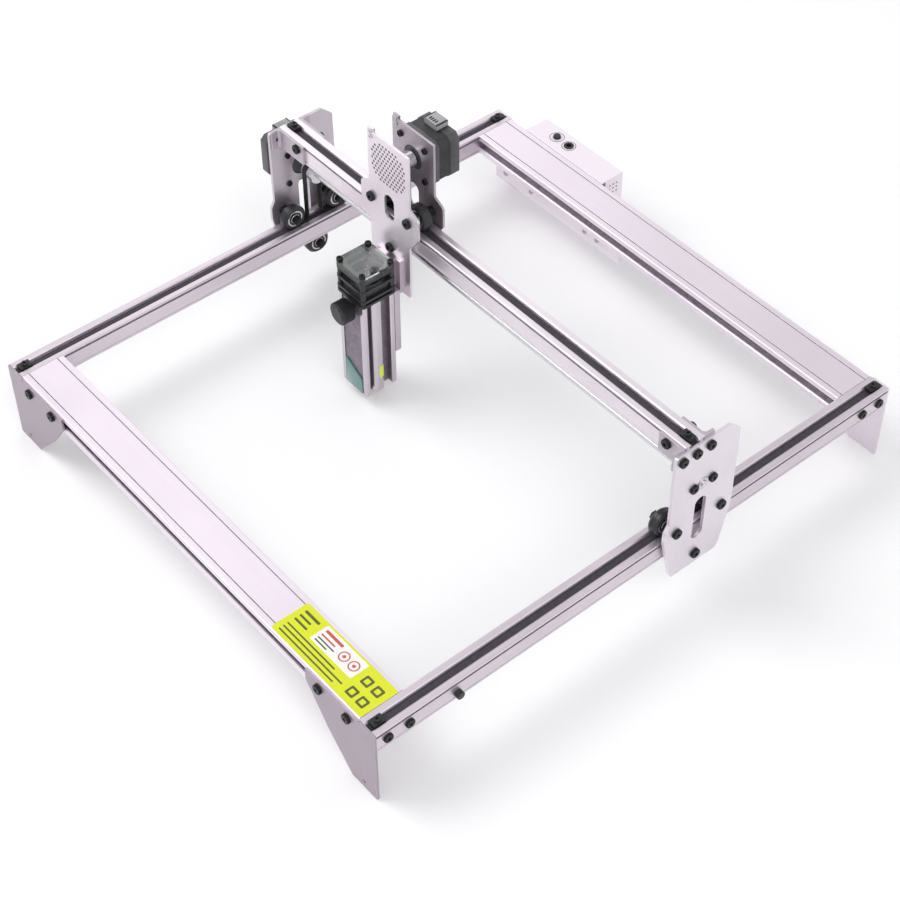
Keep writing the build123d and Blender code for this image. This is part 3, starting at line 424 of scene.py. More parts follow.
def head_grooves():
    """The two grooves in each flank of the laser head and the shallow panel in its front."""
    low, high, _ = node_box("head_body")
    boxes = []
    for behind, wide in HEAD_GROOVES:
        span = about(low.y + behind, wide / 2 + HEAD_GROOVE_SLACK)
        boxes.append({"y": span, "x": into(low.x, HEAD_GROOVE, -1)})
        boxes.append({"y": span, "x": into(high.x, HEAD_GROOVE, 1)})
    panel = (low.x + HEAD_PANEL_MARGIN, high.x - HEAD_PANEL_MARGIN)
    boxes.append({"y": into(low.y, HEAD_PANEL, -1), "x": panel})
    return boxes


LAVENDER = ((0.62, 0.555, 0.61), (0.76, 0.69, 0.75))
# Painted light: a paler copy of the lavender profile for the beams, brighter to stand for more
# light on them
PALE_PAINTED_LIGHT = ((0.77, 0.69, 0.765), (0.87, 0.79, 0.865))
BLASTED = {"rough": (0.36, 0.5)}
# The carriage's ears, whose screws are plated, and how far they reach below its top
EAR_HIGH = 0.0115

anodised("anodised_along_x", *LAVENDER, "x")
anodised("left_rail_metal", *LAVENDER, "y", grooves=profile_grooves("left_rail", "x"))
anodised("right_rail_metal", *LAVENDER, "y", grooves=profile_grooves("right_rail", "x"))
anodised("front_beam_metal", *PALE_PAINTED_LIGHT, "x", grooves=beam_grooves("front_beam"))
anodised("rear_beam_metal", *PALE_PAINTED_LIGHT, "x", grooves=beam_grooves("rear_beam"))
anodised(
    "head_metal", (0.52, 0.465, 0.515), (0.74, 0.68, 0.735), "z", (0.18, 0.30),
    grooves=head_grooves(), groove_shade=0.21,
)
anodised("anodised_along_z", (0.50, 0.445, 0.495), (0.66, 0.60, 0.655), "z", (0.24, 0.36))
anodised("blasted_sheet", *LAVENDER, **BLASTED)
# Painted light: the gantry beam is a brighter copy of the lavender profile, standing for light on
# its faces
anodised(
    "gantry_metal_painted_light", (0.74, 0.68, 0.73), (0.88, 0.82, 0.87), "x",
    grooves=profile_grooves("gantry_beam", "y"),
)
# Painted light: the carriage front plate is a brighter copy of the blasted sheet, standing for
# light on it
anodised(
    "carriage_sheet_painted_light", (0.74, 0.68, 0.73), (0.84, 0.78, 0.83), rough=(0.30, 0.42), metal=0.88
)
anodised("end_sheet", (0.72, 0.67, 0.725), (0.84, 0.79, 0.845), **BLASTED)
# Painted shade: the left end plate is a darker copy of the end plate's sheet
anodised("left_end_sheet_painted_shade", (0.56, 0.51, 0.56), (0.68, 0.625, 0.68), **BLASTED)
# Painted shade: the carriage rear plate is a dark copy of the blasted sheet
anodised("carriage_rear_sheet_painted_shade", (0.44, 0.40, 0.435), (0.54, 0.49, 0.535), **BLASTED)
# Painted shade: the front feet are a darker copy of the sheet, standing for the floor's shadow
anodised("front_foot_sheet_painted_shade", (0.36, 0.31, 0.355), (0.46, 0.40, 0.455), **BLASTED)
# Painted light: the rear feet are a brighter copy of the sheet
anodised("rear_foot_sheet_painted_light", (0.72, 0.66, 0.72), (0.84, 0.78, 0.84), metal=0.8, **BLASTED)
anodised("cast_metal", (0.50, 0.45, 0.50), (0.62, 0.56, 0.62), rough=(0.45, 0.6))
anodised(
    "box_paint", (0.78, 0.71, 0.775), (0.84, 0.775, 0.835), rough=(0.42, 0.55), metal=0.35
)
oxide("black_screw")
bright_steel("turned_steel")
oxide("carriage_screw", plated_above=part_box("carriage_front_plate")[1].z - EAR_HIGH)
ribbed_rubber("belt_along_y", "y")
ribbed_rubber("belt_along_x", "x")
plastic("belt_rubber", (0.010, 0.010, 0.011), (0.024, 0.024, 0.026), (0.5, 0.72), 2200.0)
plastic("wheel_nylon", (0.010, 0.010, 0.012), (0.022, 0.022, 0.024), (0.24, 0.38))
plastic("clamp_plastic", (0.008, 0.008, 0.009), (0.018, 0.018, 0.020), (0.3, 0.45))
plastic("motor_cap", (0.050, 0.050, 0.054), (0.085, 0.085, 0.090), (0.30, 0.46), 900.0)
plastic("motor_stack", (0.016, 0.016, 0.018), (0.030, 0.030, 0.033), (0.34, 0.5), 1700.0)
plastic("plug_housing", (0.26, 0.26, 0.265), (0.36, 0.36, 0.365), (0.35, 0.5))
plastic("black_plastic", (0.010, 0.010, 0.011), (0.022, 0.022, 0.024), (0.26, 0.4))
plastic("board_green", (0.01, 0.08, 0.03), (0.02, 0.13, 0.05), (0.25, 0.4))
clear_acrylic("shield_acrylic", (0.14, 0.42, 0.41), (0.20, 0.52, 0.50), (0.05, 0.14), 0.6, 0.5)
clear_acrylic("cover_clear", (0.82, 0.93, 0.90), (0.90, 0.98, 0.95), (0.02, 0.07), 1.0)
plastic("lens_glass", (0.5, 0.35, 0.12), (0.6, 0.45, 0.2), (0.2, 0.3))
ink("label_yellow", (0.66, 0.71, 0.015))
ink("label_white", (0.85, 0.84, 0.80))
ink("label_dark", (0.10, 0.11, 0.03))
ink("label_red", (0.55, 0.09, 0.08))
ink("grey_ink", (0.075, 0.062, 0.075))
ink("sticker_green", (0.62, 0.78, 0.05))

SLOT_LOOK = {
    "anodised_profile": "anodised_along_x",
    "plate_metal": "blasted_sheet",
    "cast_bracket": "cast_metal",
    "black_steel": "black_screw",
    "bright_steel": "turned_steel",
    "belt_rubber": "belt_rubber",
    "wheel_plastic": "wheel_nylon",
    "clamp_black": "clamp_plastic",
    "motor_dark": "motor_cap",
    "box_metal": "box_paint",
    "board_green": "board_green",
    "black_plastic": "black_plastic",
    "label_film": "label_yellow",
    "head_metal": "anodised_along_z",
    "lens_glass": "lens_glass",
    "shield_acrylic": "shield_acrylic",
    "cover_clear": "cover_clear",
}
NODE_LOOK = {
    "left_rail": "left_rail_metal",
    "right_rail": "right_rail_metal",
    "front_beam": "front_beam_metal",
    "rear_beam": "rear_beam_metal",
    "head_body": "head_metal",
    "bearing_block": "turned_steel",
    "box_screws": "cast_metal",
    "left_end_plate": "left_end_sheet_painted_shade",
    "right_end_plate": "end_sheet",
    "carriage_screws": "carriage_screw",
    "gantry_beam": "gantry_metal_painted_light",
    "carriage_front_plate": "carriage_sheet_painted_light",
    "carriage_rear_plate": "carriage_rear_sheet_painted_shade",
    "foot_front_left": "front_foot_sheet_painted_shade",
    "foot_front_right": "front_foot_sheet_painted_shade",
    "foot_rear_left": "rear_foot_sheet_painted_light",
    "foot_rear_right": "rear_foot_sheet_painted_light",
    "y_belt_strands": "belt_along_y",
    "x_belt_strand": "belt_along_x",
}

for entry in frame["record"]["subparts"]:
    node = entry["node"]
    look = NODE_LOOK.get(node, SLOT_LOOK[entry["material_slot"]])
    nodes[node].data.materials.clear()
    nodes[node].data.materials.append(LOOK[look])

# --- Mesh helpers, in millimetres ------------------------------------------------------------


def add_prism(bm, outline, low, high, soft=0.0, rounds=2):
    """Prism of an outline in the XY plane between two heights, with rounded edges."""
    base = [bm.verts.new((x, y, low)) for x, y in outline]
    roof = [bm.verts.new((x, y, high)) for x, y in outline]
    count = len(outline)
    faces = [bm.faces.new(base[::-1]), bm.faces.new(roof)]
    for i in range(count):
        j = (i + 1) % count
        faces.append(bm.faces.new((base[i], base[j], roof[j], roof[i])))
    if soft:
        edges = list({e for face in faces for e in face.edges})
        bmesh.ops.bevel(bm, geom=edges, offset=soft, segments=rounds, affect="EDGES", profile=0.5)


def add_lathe(bm, profile, steps=64, centre=(0.0, 0.0)):
    """Solid of revolution about +Z of a closed profile of (radius, height)."""
    rings = []
    for i in range(steps):
        a = math.tau * i / steps
        spoke = [(centre[0] + r * math.cos(a), centre[1] + r * math.sin(a), z) for r, z in profile]
        rings.append([bm.verts.new(corner) for corner in spoke])
    for i in range(steps):
        here, after = rings[i], rings[(i + 1) % steps]
        for k in range(len(profile)):
            m = (k + 1) % len(profile)
            bm.faces.new((here[k], after[k], after[m], here[m]))


def add_strip(bm, sections):
    """Solid through a row of four-cornered sections."""
    previous = None
    for section in sections:
        ring = [bm.verts.new(corner) for corner in section]
        if previous is None:
            bm.faces.new(ring)
        else:
            for k in range(4):
                m = (k + 1) % 4
                bm.faces.new((previous[k], previous[m], ring[m], ring[k]))
        previous = ring
    bm.faces.new(previous[::-1])


def mirrored(profile):
    """The lower half of a profile, closed by its mirror image above height 0."""
    return profile + [(r, -z) for r, z in reversed(profile)]


def rectangle(width, depth, x=0.0, y=0.0):
    return [
        (x - width / 2, y - depth / 2),
        (x + width / 2, y - depth / 2),
        (x + width / 2, y + depth / 2),
        (x - width / 2, y + depth / 2),
    ]


def chamfered(side, cut):
    """Outline of a square with its corners cut off."""
    h, c = side / 2, side / 2 - cut
    return [(h, -c), (h, c), (c, h), (-c, h), (-h, c), (-h, -c), (-c, -h), (c, -h)]


def circle(radius, steps=24, x=0.0, y=0.0):
    turns = [math.tau * i / steps for i in range(steps)]
    return [(x + radius * math.cos(a), y + radius * math.sin(a)) for a in turns]


def rounded(left, right, front, back, radius=0.8, steps=4):
    """Outline of a rectangle with round corners."""
    points = []
    for cx, cy, start in (
        (right - radius, front + radius, -90),
        (right - radius, back - radius, 0),
        (left + radius, back - radius, 90),
        (left + radius, front + radius, 180),
    ):
        for i in range(steps + 1):
            a = math.radians(start + 90 * i / steps)
            points.append((cx + radius * math.cos(a), cy + radius * math.sin(a)))
    return points


def place(origin, x_axis=X_AXIS, y_axis=Y_AXIS):
    """Matrix from local millimetres to the frame, given where local X and Y point."""
    x_axis, y_axis = Vector(x_axis), Vector(y_axis)
    turn = Matrix((x_axis, y_axis, x_axis.cross(y_axis))).transposed().to_4x4()
    return Matrix.Translation(origin) @ turn @ Matrix.Diagonal((MM, MM, MM, 1.0))


def piece(name, bm, matrix, look, body, stands_for=(), angle=35.0):
    bm.normal_update()
    bmesh.ops.recalc_face_normals(bm, faces=bm.faces)
    bm.transform(matrix)
    mesh = bpy.data.meshes.new(name)
    bm.to_mesh(mesh)
    bm.free()
    mesh.materials.append(LOOK[look])
    for polygon in mesh.polygons:
        polygon.use_smooth = True
    mesh.set_sharp_from_angle(angle=math.radians(angle))
    made = link(name, mesh)
    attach(made, body)
    if stands_for:
        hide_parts(*stands_for)
    return made


# --- Wheels ----------------------------------------------------------------------------------

WHEEL = 11.9
WHEEL_HALF = 4.9
RIM = 2.7
SHOULDER = WHEEL - WHEEL_HALF + RIM
SEAT = 7.95
TYRE = mirrored(
    [
        (SEAT, -WHEEL_HALF + 0.3),
        (8.2, -WHEEL_HALF),
        (SHOULDER - 0.25, -WHEEL_HALF),
        (SHOULDER + 0.15, -WHEEL_HALF + 0.2),
        (WHEEL - 0.2, -RIM - 0.1),
        (WHEEL, -RIM + 0.3),
        (WHEEL, -0.5),
        (WHEEL - 0.25, -0.25),
    ]
)
BEARING = mirrored(
    [
        (2.55, -WHEEL_HALF + 0.2),
        (2.75, -WHEEL_HALF),
        (4.2, -WHEEL_HALF),
        (4.4, -WHEEL_HALF + 0.2),
        (4.5, -WHEEL_HALF + 0.55),
        (6.5, -WHEEL_HALF + 0.55),
        (6.6, -WHEEL_HALF + 0.25),
        (7.7, -WHEEL_HALF + 0.25),
        (SEAT, -WHEEL_HALF + 0.5),
    ]
)
SEAL = [(4.6, 0.0), (6.4, 0.0), (6.4, 0.25), (5.5, 0.32), (4.6, 0.25)]
SEAL_AT = WHEEL_HALF - 0.54


def make_wheel(node):
    axes = (Y_AXIS, Z_AXIS) if node.startswith("y_") else (Z_AXIS, X_AXIS)
    to_frame = place(node_box(node)[2], *axes)
    bm = bmesh.new()
    add_lathe(bm, TYRE, 72)
    piece(node + "_tyre", bm, to_frame, "wheel_nylon", node, (node,), 25.0)
    bm = bmesh.new()
    add_lathe(bm, BEARING, 48)
    piece(node + "_bearing", bm, to_frame, "turned_steel", node, (node,), 25.0)
    bm = bmesh.new()
    for side in (1, -1):
        add_lathe(bm, [(r, side * (SEAL_AT + z)) for r, z in SEAL], 48)
    piece(node + "_seals", bm, to_frame, "clamp_plastic", node, (node,))


# --- Belts over the pulleys ------------------------------------------------------------------

LOOP = 7.5
BELT = 1.4
BELT_WIDE = 5.5
BEND = 5.0
TAIL = 8.6
TOOTH = 2.0
TOOTH_DEEP = 0.65
PER_TOOTH = 4


def belt_path(low):
    """Points along the middle of a belt, a few to a tooth, with the normal off its back."""
    parts = []

    def line(x0, y0, x1, y1):
        length = math.hypot(x1 - x0, y1 - y0)
        dx, dy = (x1 - x0) / length, (y1 - y0) / length
        parts.append((length, lambda s: (x0 + dx * s, y0 + dy * s, -dy, dx)))

    def arc(cx, cy, radius, start, sweep):
        def at(s):
            a = start + math.copysign(s / radius, sweep)
            x, y = math.cos(a), math.sin(a)
            back = -1.0 if sweep > 0 else 1.0
            return cx + radius * x, cy + radius * y, back * x, back * y

        parts.append((radius * abs(sweep), at))

    quarter = math.pi / 2
    line(-LOOP - TAIL, low, -LOOP - BEND, low)
    arc(-LOOP - BEND, low + BEND, BEND, -quarter, quarter)
    line(-LOOP, low + BEND, -LOOP, 0.0)
    arc(0.0, 0.0, LOOP, math.pi, -math.pi)
    line(LOOP, 0.0, LOOP, low + BEND)
    arc(LOOP + BEND, low + BEND, BEND, math.pi, quarter)
    line(LOOP + BEND, low, LOOP + TAIL, low)
    total = sum(length for length, _ in parts)
    count = int(total / TOOTH * PER_TOOTH)
    for i in range(count + 1):
        s = total * i / count
        for length, at in parts:
            if s <= length + 1e-9:
                break
            s -= length
        yield at(min(s, length))


def add_belt(bm, low, across):
    """One belt loop: smooth back, trapezoid teeth on the side of the pulley."""
    sections = []
    for i, (x, y, nx, ny) in enumerate(belt_path(low)):
        inner = -BELT / 2 + (0.0 if i % PER_TOOTH < PER_TOOTH / 2 else TOOTH_DEEP)
        corners = ((inner, -1), (BELT / 2, -1), (BELT / 2, 1), (inner, 1))
        sections.append(
            [(x + nx * off, y + ny * off, across + side * BELT_WIDE / 2) for off, side in corners]
        )
    add_strip(bm, sections)


def make_belt(node, body, x_axis, pair):
    low, high, origin = node_box(node)
    origin.z = high.z - (LOOP + BELT / 2) * MM
    drop = (low.z - origin.z) / MM + BELT / 2
    reach = (high.x - low.x) / MM / 2 - BELT_WIDE / 2
    bm = bmesh.new()
    for across in (-reach, reach) if pair else (0.0,):
        add_belt(bm, drop, across)
    to_frame = place(origin, x_axis, Z_AXIS)
    piece(node + "_toothed", bm, to_frame, "belt_rubber", body, (node,), 30.0)


# --- Stepper motors --------------------------------------------------------------------------

CASE = 42.3
CASE_CUT = 4.5
MOTOR_LONG = 29.5
FRONT_CAP, REAR_CAP = 8.5, 9.5
BOSS_HIGH = 1.8
SCREW_AT = 15.5
SHEET_PITCH, SHEET_THICK, SHEET_IN = 1.0, 0.95, 0.7
# The plug's outline across the motor: width, height and wall, and its ends from the rear
PLUG_WIDE, PLUG_HIGH, PLUG_WALL, PLUG_SIDE = 16.0, 6.0, 1.1, 1.4
PLUG_FRONT, PLUG_MOUTH, PLUG_FLOOR = 13.0, 1.0, 6.0
PIN_PITCH = 2.5


def make_motor(node, body, x_axis):
    low, high, origin = node_box(node)
    origin.z = low.z + CASE / 2 * MM
    if node == "y_motor":
        origin.x = high.x - BOSS_HIGH * MM
    else:
        origin.y = low.y + BOSS_HIGH * MM
    to_frame = place(origin, x_axis, Z_AXIS)
    end, top = MOTOR_LONG, CASE / 2

    bm = bmesh.new()
    add_prism(bm, chamfered(CASE, CASE_CUT), 0.0, FRONT_CAP, 0.5, 3)
    add_prism(bm, chamfered(CASE, CASE_CUT), end - REAR_CAP, end, 0.5, 3)
    boss = [(3.1, -BOSS_HIGH), (10.6, -BOSS_HIGH), (10.9, -1.5), (10.9, 0.3), (3.1, 0.3)]
    add_lathe(bm, boss, 48)
    centre_mark = [(0.0, -0.2), (4.5, -0.2), (4.5, 0.0), (2.6, 0.0), (2.2, -0.1), (0.0, -0.1)]
    add_lathe(bm, [(r, end + z) for r, z in centre_mark], 32)
    piece(node + "_end_caps", bm, to_frame, "motor_cap", body, (node,))

    bm = bmesh.new()
    level = FRONT_CAP - 0.2
    while level < end - REAR_CAP + 0.1:
        outline = chamfered(CASE - SHEET_IN, CASE_CUT + 0.4)
        add_prism(bm, outline, level, level + SHEET_THICK, 0.12, 1)
        level += SHEET_PITCH
    piece(node + "_laminations", bm, to_frame, "motor_stack", body, (node,))

    bm = bmesh.new()
    mid, side = top + PLUG_HIGH / 2, PLUG_WIDE / 2 - PLUG_SIDE / 2
    for outline in (
        rectangle(PLUG_WIDE, PLUG_WALL, 0.0, top + PLUG_WALL / 2),
        rectangle(PLUG_WIDE, PLUG_WALL, 0.0, top + PLUG_HIGH - PLUG_WALL / 2),
        rectangle(PLUG_SIDE, PLUG_HIGH, -side, mid),
        rectangle(PLUG_SIDE, PLUG_HIGH, side, mid),
    ):
        add_prism(bm, outline, end - PLUG_FRONT, end - PLUG_MOUTH, 0.2)
    floor = rectangle(PLUG_WIDE - 2.0, PLUG_HIGH - 1.0, 0.0, mid)
    add_prism(bm, floor, end - PLUG_FRONT, end - PLUG_FLOOR, 0.1, 1)
    piece(node + "_plug", bm, to_frame, "plug_housing", body, (node,))

    bm = bmesh.new()
    for k in range(4):
        x = (k - 1.5) * PIN_PITCH
        add_prism(bm, rectangle(0.7, 0.7, x, mid), end - 6.5, end - 2.0, 0.15, 1)
        add_prism(bm, rectangle(1.0, 2.6, x, top + 5.2), end - 11.5, end - 8.0, 0.15, 1)
    piece(node + "_contacts", bm, to_frame, "black_screw", body, (node,))

    bm = bmesh.new()
    screw_head = [(1.2, -1.1), (1.5, -0.05), (2.6, -0.05), (2.8, -0.3), (2.8, -1.2)]
    for x in (-SCREW_AT, SCREW_AT):
        for y in (-SCREW_AT, SCREW_AT):
            add_lathe(bm, [(r, end + z) for r, z in screw_head], 24, (x, y))
            add_prism(bm, circle(1.3, 12, x, y), end - 1.2, end - 0.9)
    piece(node + "_screws", bm, to_frame, "black_screw", body, (node,))


# --- Fan of the laser head -------------------------------------------------------------------

BLADES = 7
STRIPS = 8
BLADE_ROOT, BLADE_LONG = 6.9, 6.8
BLADE_LEVELS = (1.0, 2.9, 4.8, 6.7, 8.6)
BLADE_HALF_ANGLE = 0.035
BLADE_TWIST, BLADE_BELLY, BLADE_SWEEP = 0.62, 0.10, 0.30
HUB = [
    (1.6, 0.0), (7.0, 0.0), (7.2, 0.3), (7.2, 9.2), (6.6, 9.9), (5.2, 10.0), (5.0, 9.7), (1.6, 9.7)
]
HUB_CAP = [(0.0, 9.2), (4.2, 9.2), (4.2, 9.85), (0.0, 9.85)]


def add_blade(bm, start):
    """Twisted blade between two skins, from the hub outwards."""
    last = len(BLADE_LEVELS) - 1
    rows = []
    for i in range(STRIPS + 1):
        share = i / STRIPS
        radius = BLADE_ROOT + BLADE_LONG * share
        row = []
        for k, height in enumerate(BLADE_LEVELS):
            lean = BLADE_TWIST * (k / last - 0.5) * (7.0 / radius) ** 0.4
            lean += BLADE_BELLY * math.sin(math.pi * k / last)
            row.append((radius, start + lean + BLADE_SWEEP * share, height))
        rows.append(row)
    under, over = (
        [
            [bm.verts.new((r * math.cos(t + off), r * math.sin(t + off), h)) for r, t, h in row]
            for row in rows
        ]
        for off in (-BLADE_HALF_ANGLE, BLADE_HALF_ANGLE)
    )
    for i in range(STRIPS):
        for k in range(last):
            bm.faces.new((under[i][k], under[i + 1][k], under[i + 1][k + 1], under[i][k + 1]))
            bm.faces.new((over[i][k], over[i][k + 1], over[i + 1][k + 1], over[i + 1][k]))
        for k in (0, last):
            bm.faces.new((under[i][k], over[i][k], over[i + 1][k], under[i + 1][k]))
    for i in (0, STRIPS):
        for k in range(last):
            bm.faces.new((under[i][k], under[i][k + 1], over[i][k + 1], over[i][k]))


def make_fan():
    centre = node_box("fan_cover")[2]
    centre.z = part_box("fan_rotor")[0].z
    bm = bmesh.new()
    add_lathe(bm, HUB, 48)
    add_lathe(bm, HUB_CAP, 32)
    for blade in range(BLADES):
        add_blade(bm, math.tau * blade / BLADES)
    to_frame, rotor = place(centre), "fan_rotor"
    piece("fan_impeller", bm, to_frame, "black_plastic", rotor, (rotor,), 40.0)


def add_square_ring(bm, side, radius, bore, low, high, steps=10):
    """Plate with rounded corners and a round bore."""
    half = side / 2
    outer = rounded(-half, half, -half, half, radius, steps)
    inner = [(bore * x / math.hypot(x, y), bore * y / math.hypot(x, y)) for x, y in outer]
    levels = [
        [bm.verts.new((x, y, z)) for x, y in ring]
        for ring, z in ((outer, low), (outer, high), (inner, high), (inner, low))
    ]
    for a, b in zip(levels, levels[1:] + levels[:1]):
        for i in range(len(outer)):
            j = (i + 1) % len(outer)
            bm.faces.new((a[i], a[j], b[j], b[i]))


# Round of the corners, bore, and where it starts and ends below the top
COVER_SLACK = 0.1
COVER_ROUND, COVER_THICK = 3.0, 4.2
BAND_BORE, BAND_TOP, BAND_END = 15.6, 4.3, 7.4
STEP_IN, STEP_ROUND, STEP_BORE, STEP_END = 3.4, 5.0, 15.3, 10.2


def make_cover():
    """Clear plate over a black band that steps in below."""
    low, high, centre = node_box("fan_cover")
    centre.z = low.z
    side, top = (high.x - low.x) / MM, (high.z - low.z) / MM
    half = (side - COVER_SLACK) / 2
    outline = rounded(-half, half, -half, half, COVER_ROUND, 10)
    bm = bmesh.new()
    add_prism(bm, outline, top - COVER_THICK, top, 0.3)
    node, to_frame = ("fan_cover",), place(centre)
    piece("cover_plate", bm, to_frame, "cover_clear", "laser_head", node, 40.0)
    bm = bmesh.new()
    add_square_ring(bm, 2 * half, COVER_ROUND, BAND_BORE, top - BAND_END, top - BAND_TOP)
    add_square_ring(bm, side - STEP_IN, STEP_ROUND, STEP_BORE, top - STEP_END, top - BAND_END)
    piece("cover_frame", bm, to_frame, "black_plastic", "laser_head", node, 40.0)


# --- Knob, shield and sticker of the laser head ----------------------------------------------

RIDGES = 44
KNOB, KNOB_VALLEY = 10.5, 9.95
# Height along the knob and how far the outline is drawn in there
KNOB_LEVELS = ((1.2, -0.7), (1.75, 0.0), (12.4, 0.0), (13.2, -0.8))
KNOB_DISC = [(0.0, 1.4), (8.6, 1.4), (8.6, 0.9), (7.6, 0.9), (7.2, 0.0), (0.0, 0.0)]
KNOB_SHAFT_FROM, KNOB_SHAFT = 13.0, 2.5
SHIELD_SOFT, SHIELD_THINNED = 0.35, 0.9
SHIELD_SLOPE = 13.0
# The second rib of the head's flank and the round between it and the side
RIB_BACK, RIB_ROUND = 21.3, 4.4
STICKER_LOW, STICKER_HIGH = 14.0, 27.0
STICKER_FLAT = 2.2
STICKER_THICK = 0.08


def make_knob():
    low, high, centre = node_box("focus_knob")
    centre.y = low.y
    outline = []
    for i in range(RIDGES * 4):
        a = math.tau * i / (RIDGES * 4)
        outline.append((math.cos(a), math.sin(a), KNOB if i % 4 < 2 else KNOB_VALLEY))
    bm = bmesh.new()
    rings = [
        [bm.verts.new((x * (r + cut), y * (r + cut), z)) for x, y, r in outline]
        for z, cut in KNOB_LEVELS
    ]
    for near, far in zip(rings, rings[1:]):
        for i in range(len(outline)):
            j = (i + 1) % len(outline)
            bm.faces.new((near[i], near[j], far[j], far[i]))
    bm.faces.new(rings[0][::-1])
    bm.faces.new(rings[-1])
    add_lathe(bm, KNOB_DISC, 56)
    end = (high.y - low.y) / MM
    start, r = KNOB_SHAFT_FROM, KNOB_SHAFT
    add_lathe(bm, [(0.0, start), (r, start), (r, end - 0.3), (r - 0.3, end), (0.0, end)], 32)
    to_frame = place(centre, X_AXIS, (0, 0, -1))
    knob = "focus_knob"
    piece("knob_knurled", bm, to_frame, "black_plastic", knob, (knob,), 30.0)


def make_shield():
    """Tinted plate whose top edge slopes down to the right."""
    low, high, _ = node_box("beam_shield")
    wide, thick, tall = (high - low) / MM
    outline = [
        (0.0, 0.0),
        (wide, 0.0),
        (wide, tall - SHIELD_SLOPE),
        (wide - 3.0, tall - SHIELD_SLOPE + 2.0),
        (2.0, tall),
        (0.0, tall),
    ]
    bm = bmesh.new()
    add_prism(bm, outline, 0.0, thick - SHIELD_THINNED, SHIELD_SOFT, 3)
    to_frame = place(Vector((low.x, high.y, low.z)), X_AXIS, Z_AXIS)
    node = ("beam_shield",)
    piece("shield_sloped", bm, to_frame, "shield_acrylic", "laser_head", node)


def make_sticker():
    """Film laid from the flat of the rib round its rounding."""
    low, high, _ = node_box("head_body")
    bend = RIB_ROUND * MM
    centre_x, centre_y = high.x - bend, low.y + (RIB_BACK - RIB_ROUND) * MM
    points = [(high.x, centre_y - STICKER_FLAT * MM)]
    for i in range(9):
        a = math.radians(6 * i)
        points.append((centre_x + bend * math.cos(a), centre_y + bend * math.sin(a)))
    bottom, top = low.z + STICKER_LOW * MM, low.z + STICKER_HIGH * MM
    sections = []
    for x, y in points:
        off = Vector((x - centre_x, max(y - centre_y, 0.0))).normalized() * STICKER_THICK * MM
        inner, outer = (x - off.x * 0.2, y - off.y * 0.2), (x + off.x, y + off.y)
        sections.append([(*inner, bottom), (*outer, bottom), (*outer, top), (*inner, top)])
    bm = bmesh.new()
    add_strip(bm, sections)
    piece("head_sticker", bm, Matrix.Identity(4), "sticker_green", "laser_head", angle=20.0)


# --- Label on the front beam, plain shapes only ----------------------------------------------

SQUARES = [(82.0 + 12.0 * column, 5.0 + 14.0 * row) for column in range(2) for row in range(2)]
LABEL_BARS = [
    rounded(5.0, 22.0, 27.5, 30.0),
    rounded(5.0, 18.0, 22.5, 24.5),
    rounded(5.0, 20.0, 17.5, 19.5),
    rounded(5.0, 70.0, 3.2, 4.6, 0.5),
    rounded(5.0, 76.0, 7.2, 8.6, 0.5),
    rounded(5.0, 62.0, 11.2, 12.6, 0.5),
] + [rounded(x, x + 8.5, y, y + 8.5, 1.2) for x, y in SQUARES]
LABEL_INSETS = [rounded(x + 2.0, x + 6.5, y + 2.0, y + 6.5) for x, y in SQUARES]
RED_BARS = [rounded(30.0, 50.0, 28.0, 30.6, 0.6), rounded(30.0, 46.0, 24.0, 25.4, 0.5)]
GREY_LINES = [rounded(30.0, 49.0, 20.6, 21.8, 0.5), rounded(30.0, 44.0, 17.6, 18.8, 0.5)]
RINGS_AT = ((57.5, 24.4), (69.0, 24.4))
# Steps round, inner and outer radius
RING_PROFILES = ((40, 3.7, 4.8), (24, 0.0, 1.5))
# Heights over the beam at which each layer of ink starts and ends
BASE_LAYER, PANEL_LAYER, BAR_LAYER = (0.0, 0.12), (0.1, 0.15), (0.1, 0.17)
TOP_LAYER, LINE_LAYER = (0.12, 0.19), (0.12, 0.18)


def band(inner, outer, bottom, top):
    """Profile of a flat ring."""
    return [(inner, bottom), (outer, bottom), (outer, top), (inner, top)]


def make_label():
    low, high, _ = node_box("beam_label")
    wide, deep, _ = (high - low) / MM
    to_frame = place(low)

    def film(name, outlines, layer, look, stands_for=()):
        bm = bmesh.new()
        for outline in outlines:
            add_prism(bm, outline, *layer)
        piece(name, bm, to_frame, look, "frame", stands_for)

    base, panel = rounded(0.0, wide, 0.0, deep, 2.0), rounded(27.0, 76.0, 15.5, 33.2, 1.0)
    film("label_base", [base], BASE_LAYER, "label_yellow", ("beam_label",))
    film("label_panel", [panel], PANEL_LAYER, "label_white")
    film("label_bars", LABEL_BARS, BAR_LAYER, "label_dark")
    film("label_insets", LABEL_INSETS, TOP_LAYER, "label_yellow")
    film("label_panel_bars", RED_BARS, TOP_LAYER, "label_red")
    film("label_panel_lines", GREY_LINES, LINE_LAYER, "grey_ink")
    bm = bmesh.new()
    for at in RINGS_AT:
        for steps, inner, outer in RING_PROFILES:
            add_lathe(bm, band(inner, outer, *LINE_LAYER), steps, at)
    piece("label_rings", bm, to_frame, "label_red", "frame")


# --- Dots on the carriage, rings on the control box ------------------------------------------

DOT, DOT_PITCH = 1.15, 4.1
DOT_LAYER, RING_LAYER = (-0.04, 0.08), (-0.03, 0.06)
FIELD = 21.8
FIELD_BELOW_TOP = 28.5
RING_WIDE = 0.6


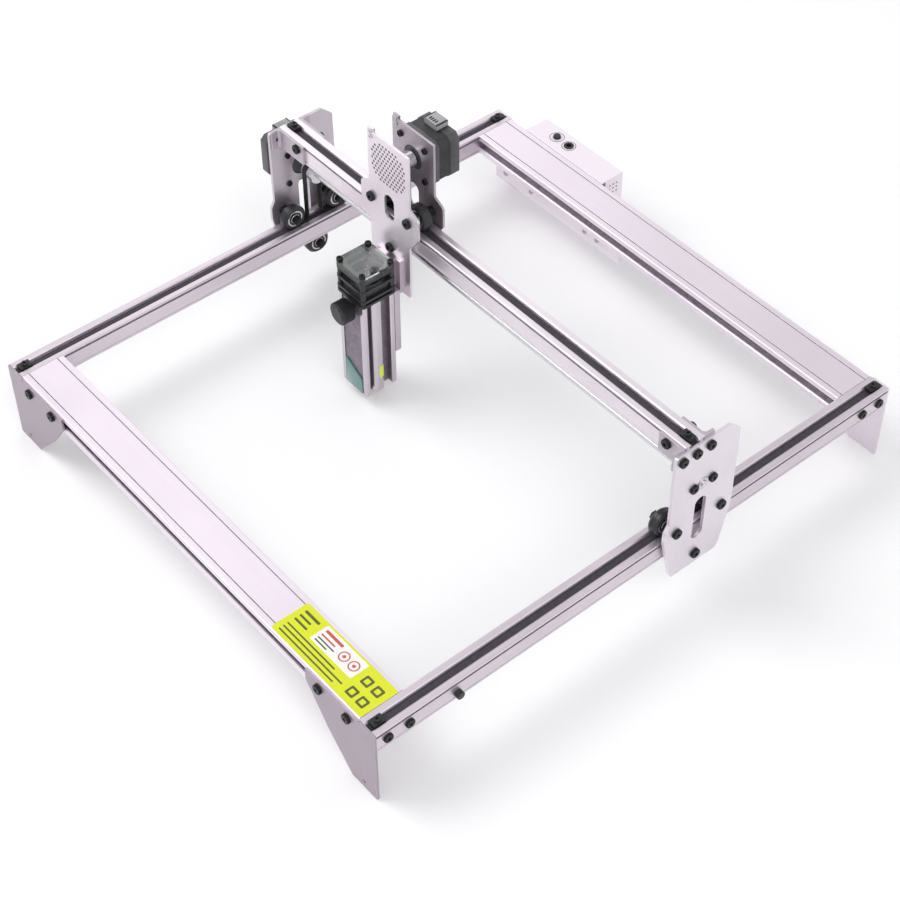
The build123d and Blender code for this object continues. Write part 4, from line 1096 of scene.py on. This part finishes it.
def make_dots():
    """Round field of dots on a triangular grid."""
    low, high, _ = node_box("carriage_front_plate")
    centre = Vector((node_box("x_belt_loop")[2].x, low.y, high.z - FIELD_BELOW_TOP * MM))
    bm = bmesh.new()
    for row in range(-5, 6):
        for column in range(-6, 7):
            x = (column + 0.5 * (row % 2)) * DOT_PITCH
            y = row * DOT_PITCH * math.sqrt(0.75)
            if math.hypot(x, y) < FIELD:
                add_prism(bm, circle(DOT, 16, x, y), *DOT_LAYER)
    piece("carriage_dots", bm, place(centre, X_AXIS, Z_AXIS), "grey_ink", "carriage")


def make_ring(node, inner):
    centre = node_box(node)[2]
    centre.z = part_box("control_box_lid")[1].z
    bm = bmesh.new()
    add_lathe(bm, band(inner, inner + RING_WIDE, *RING_LAYER), 48)
    piece(node + "_ring", bm, place(centre), "grey_ink", "frame")


def make_floor():
    h, z = FLOOR_HALF, FLOOR_AT
    mesh = bpy.data.meshes.new("floor")
    mesh.from_pydata([(-h, -h, z), (h, -h, z), (h, h, z), (-h, h, z)], [], [(0, 1, 2, 3)])
    floor = link("floor", mesh)
    f = Finish("floor_paper", Roughness=0.9, Specular_IOR_Level=0.1)
    paper = f.tones(f.noise(2.0), (0.86, 0.86, 0.865), (0.875, 0.875, 0.88))
    f.surface(Base_Color=paper, Normal=f.bump(f.noise(300.0), 0.0001))
    mesh.materials.append(f.material)


# --- The scene -------------------------------------------------------------------------------

for node in sorted(nodes):
    if "_wheel_" in node and not node.endswith("axles"):
        make_wheel(node)
make_belt("y_belt_loops", "gantry", Y_AXIS, True)
make_belt("x_belt_loop", "carriage", X_AXIS, False)
make_motor("y_motor", "gantry", (0, -1, 0))
make_motor("x_motor", "carriage", (-1, 0, 0))
make_fan()
make_cover()
make_knob()
make_shield()
make_sticker()
make_label()
make_dots()
make_ring("power_button", 6.6)
make_ring("power_inlet", 6.4)

make_camera()
make_world()
make_floor()
for light in LIGHTS:
    make_light(*light)

view = bpy.context.scene.view_settings
view.view_transform = "Standard"
view.look = "None"
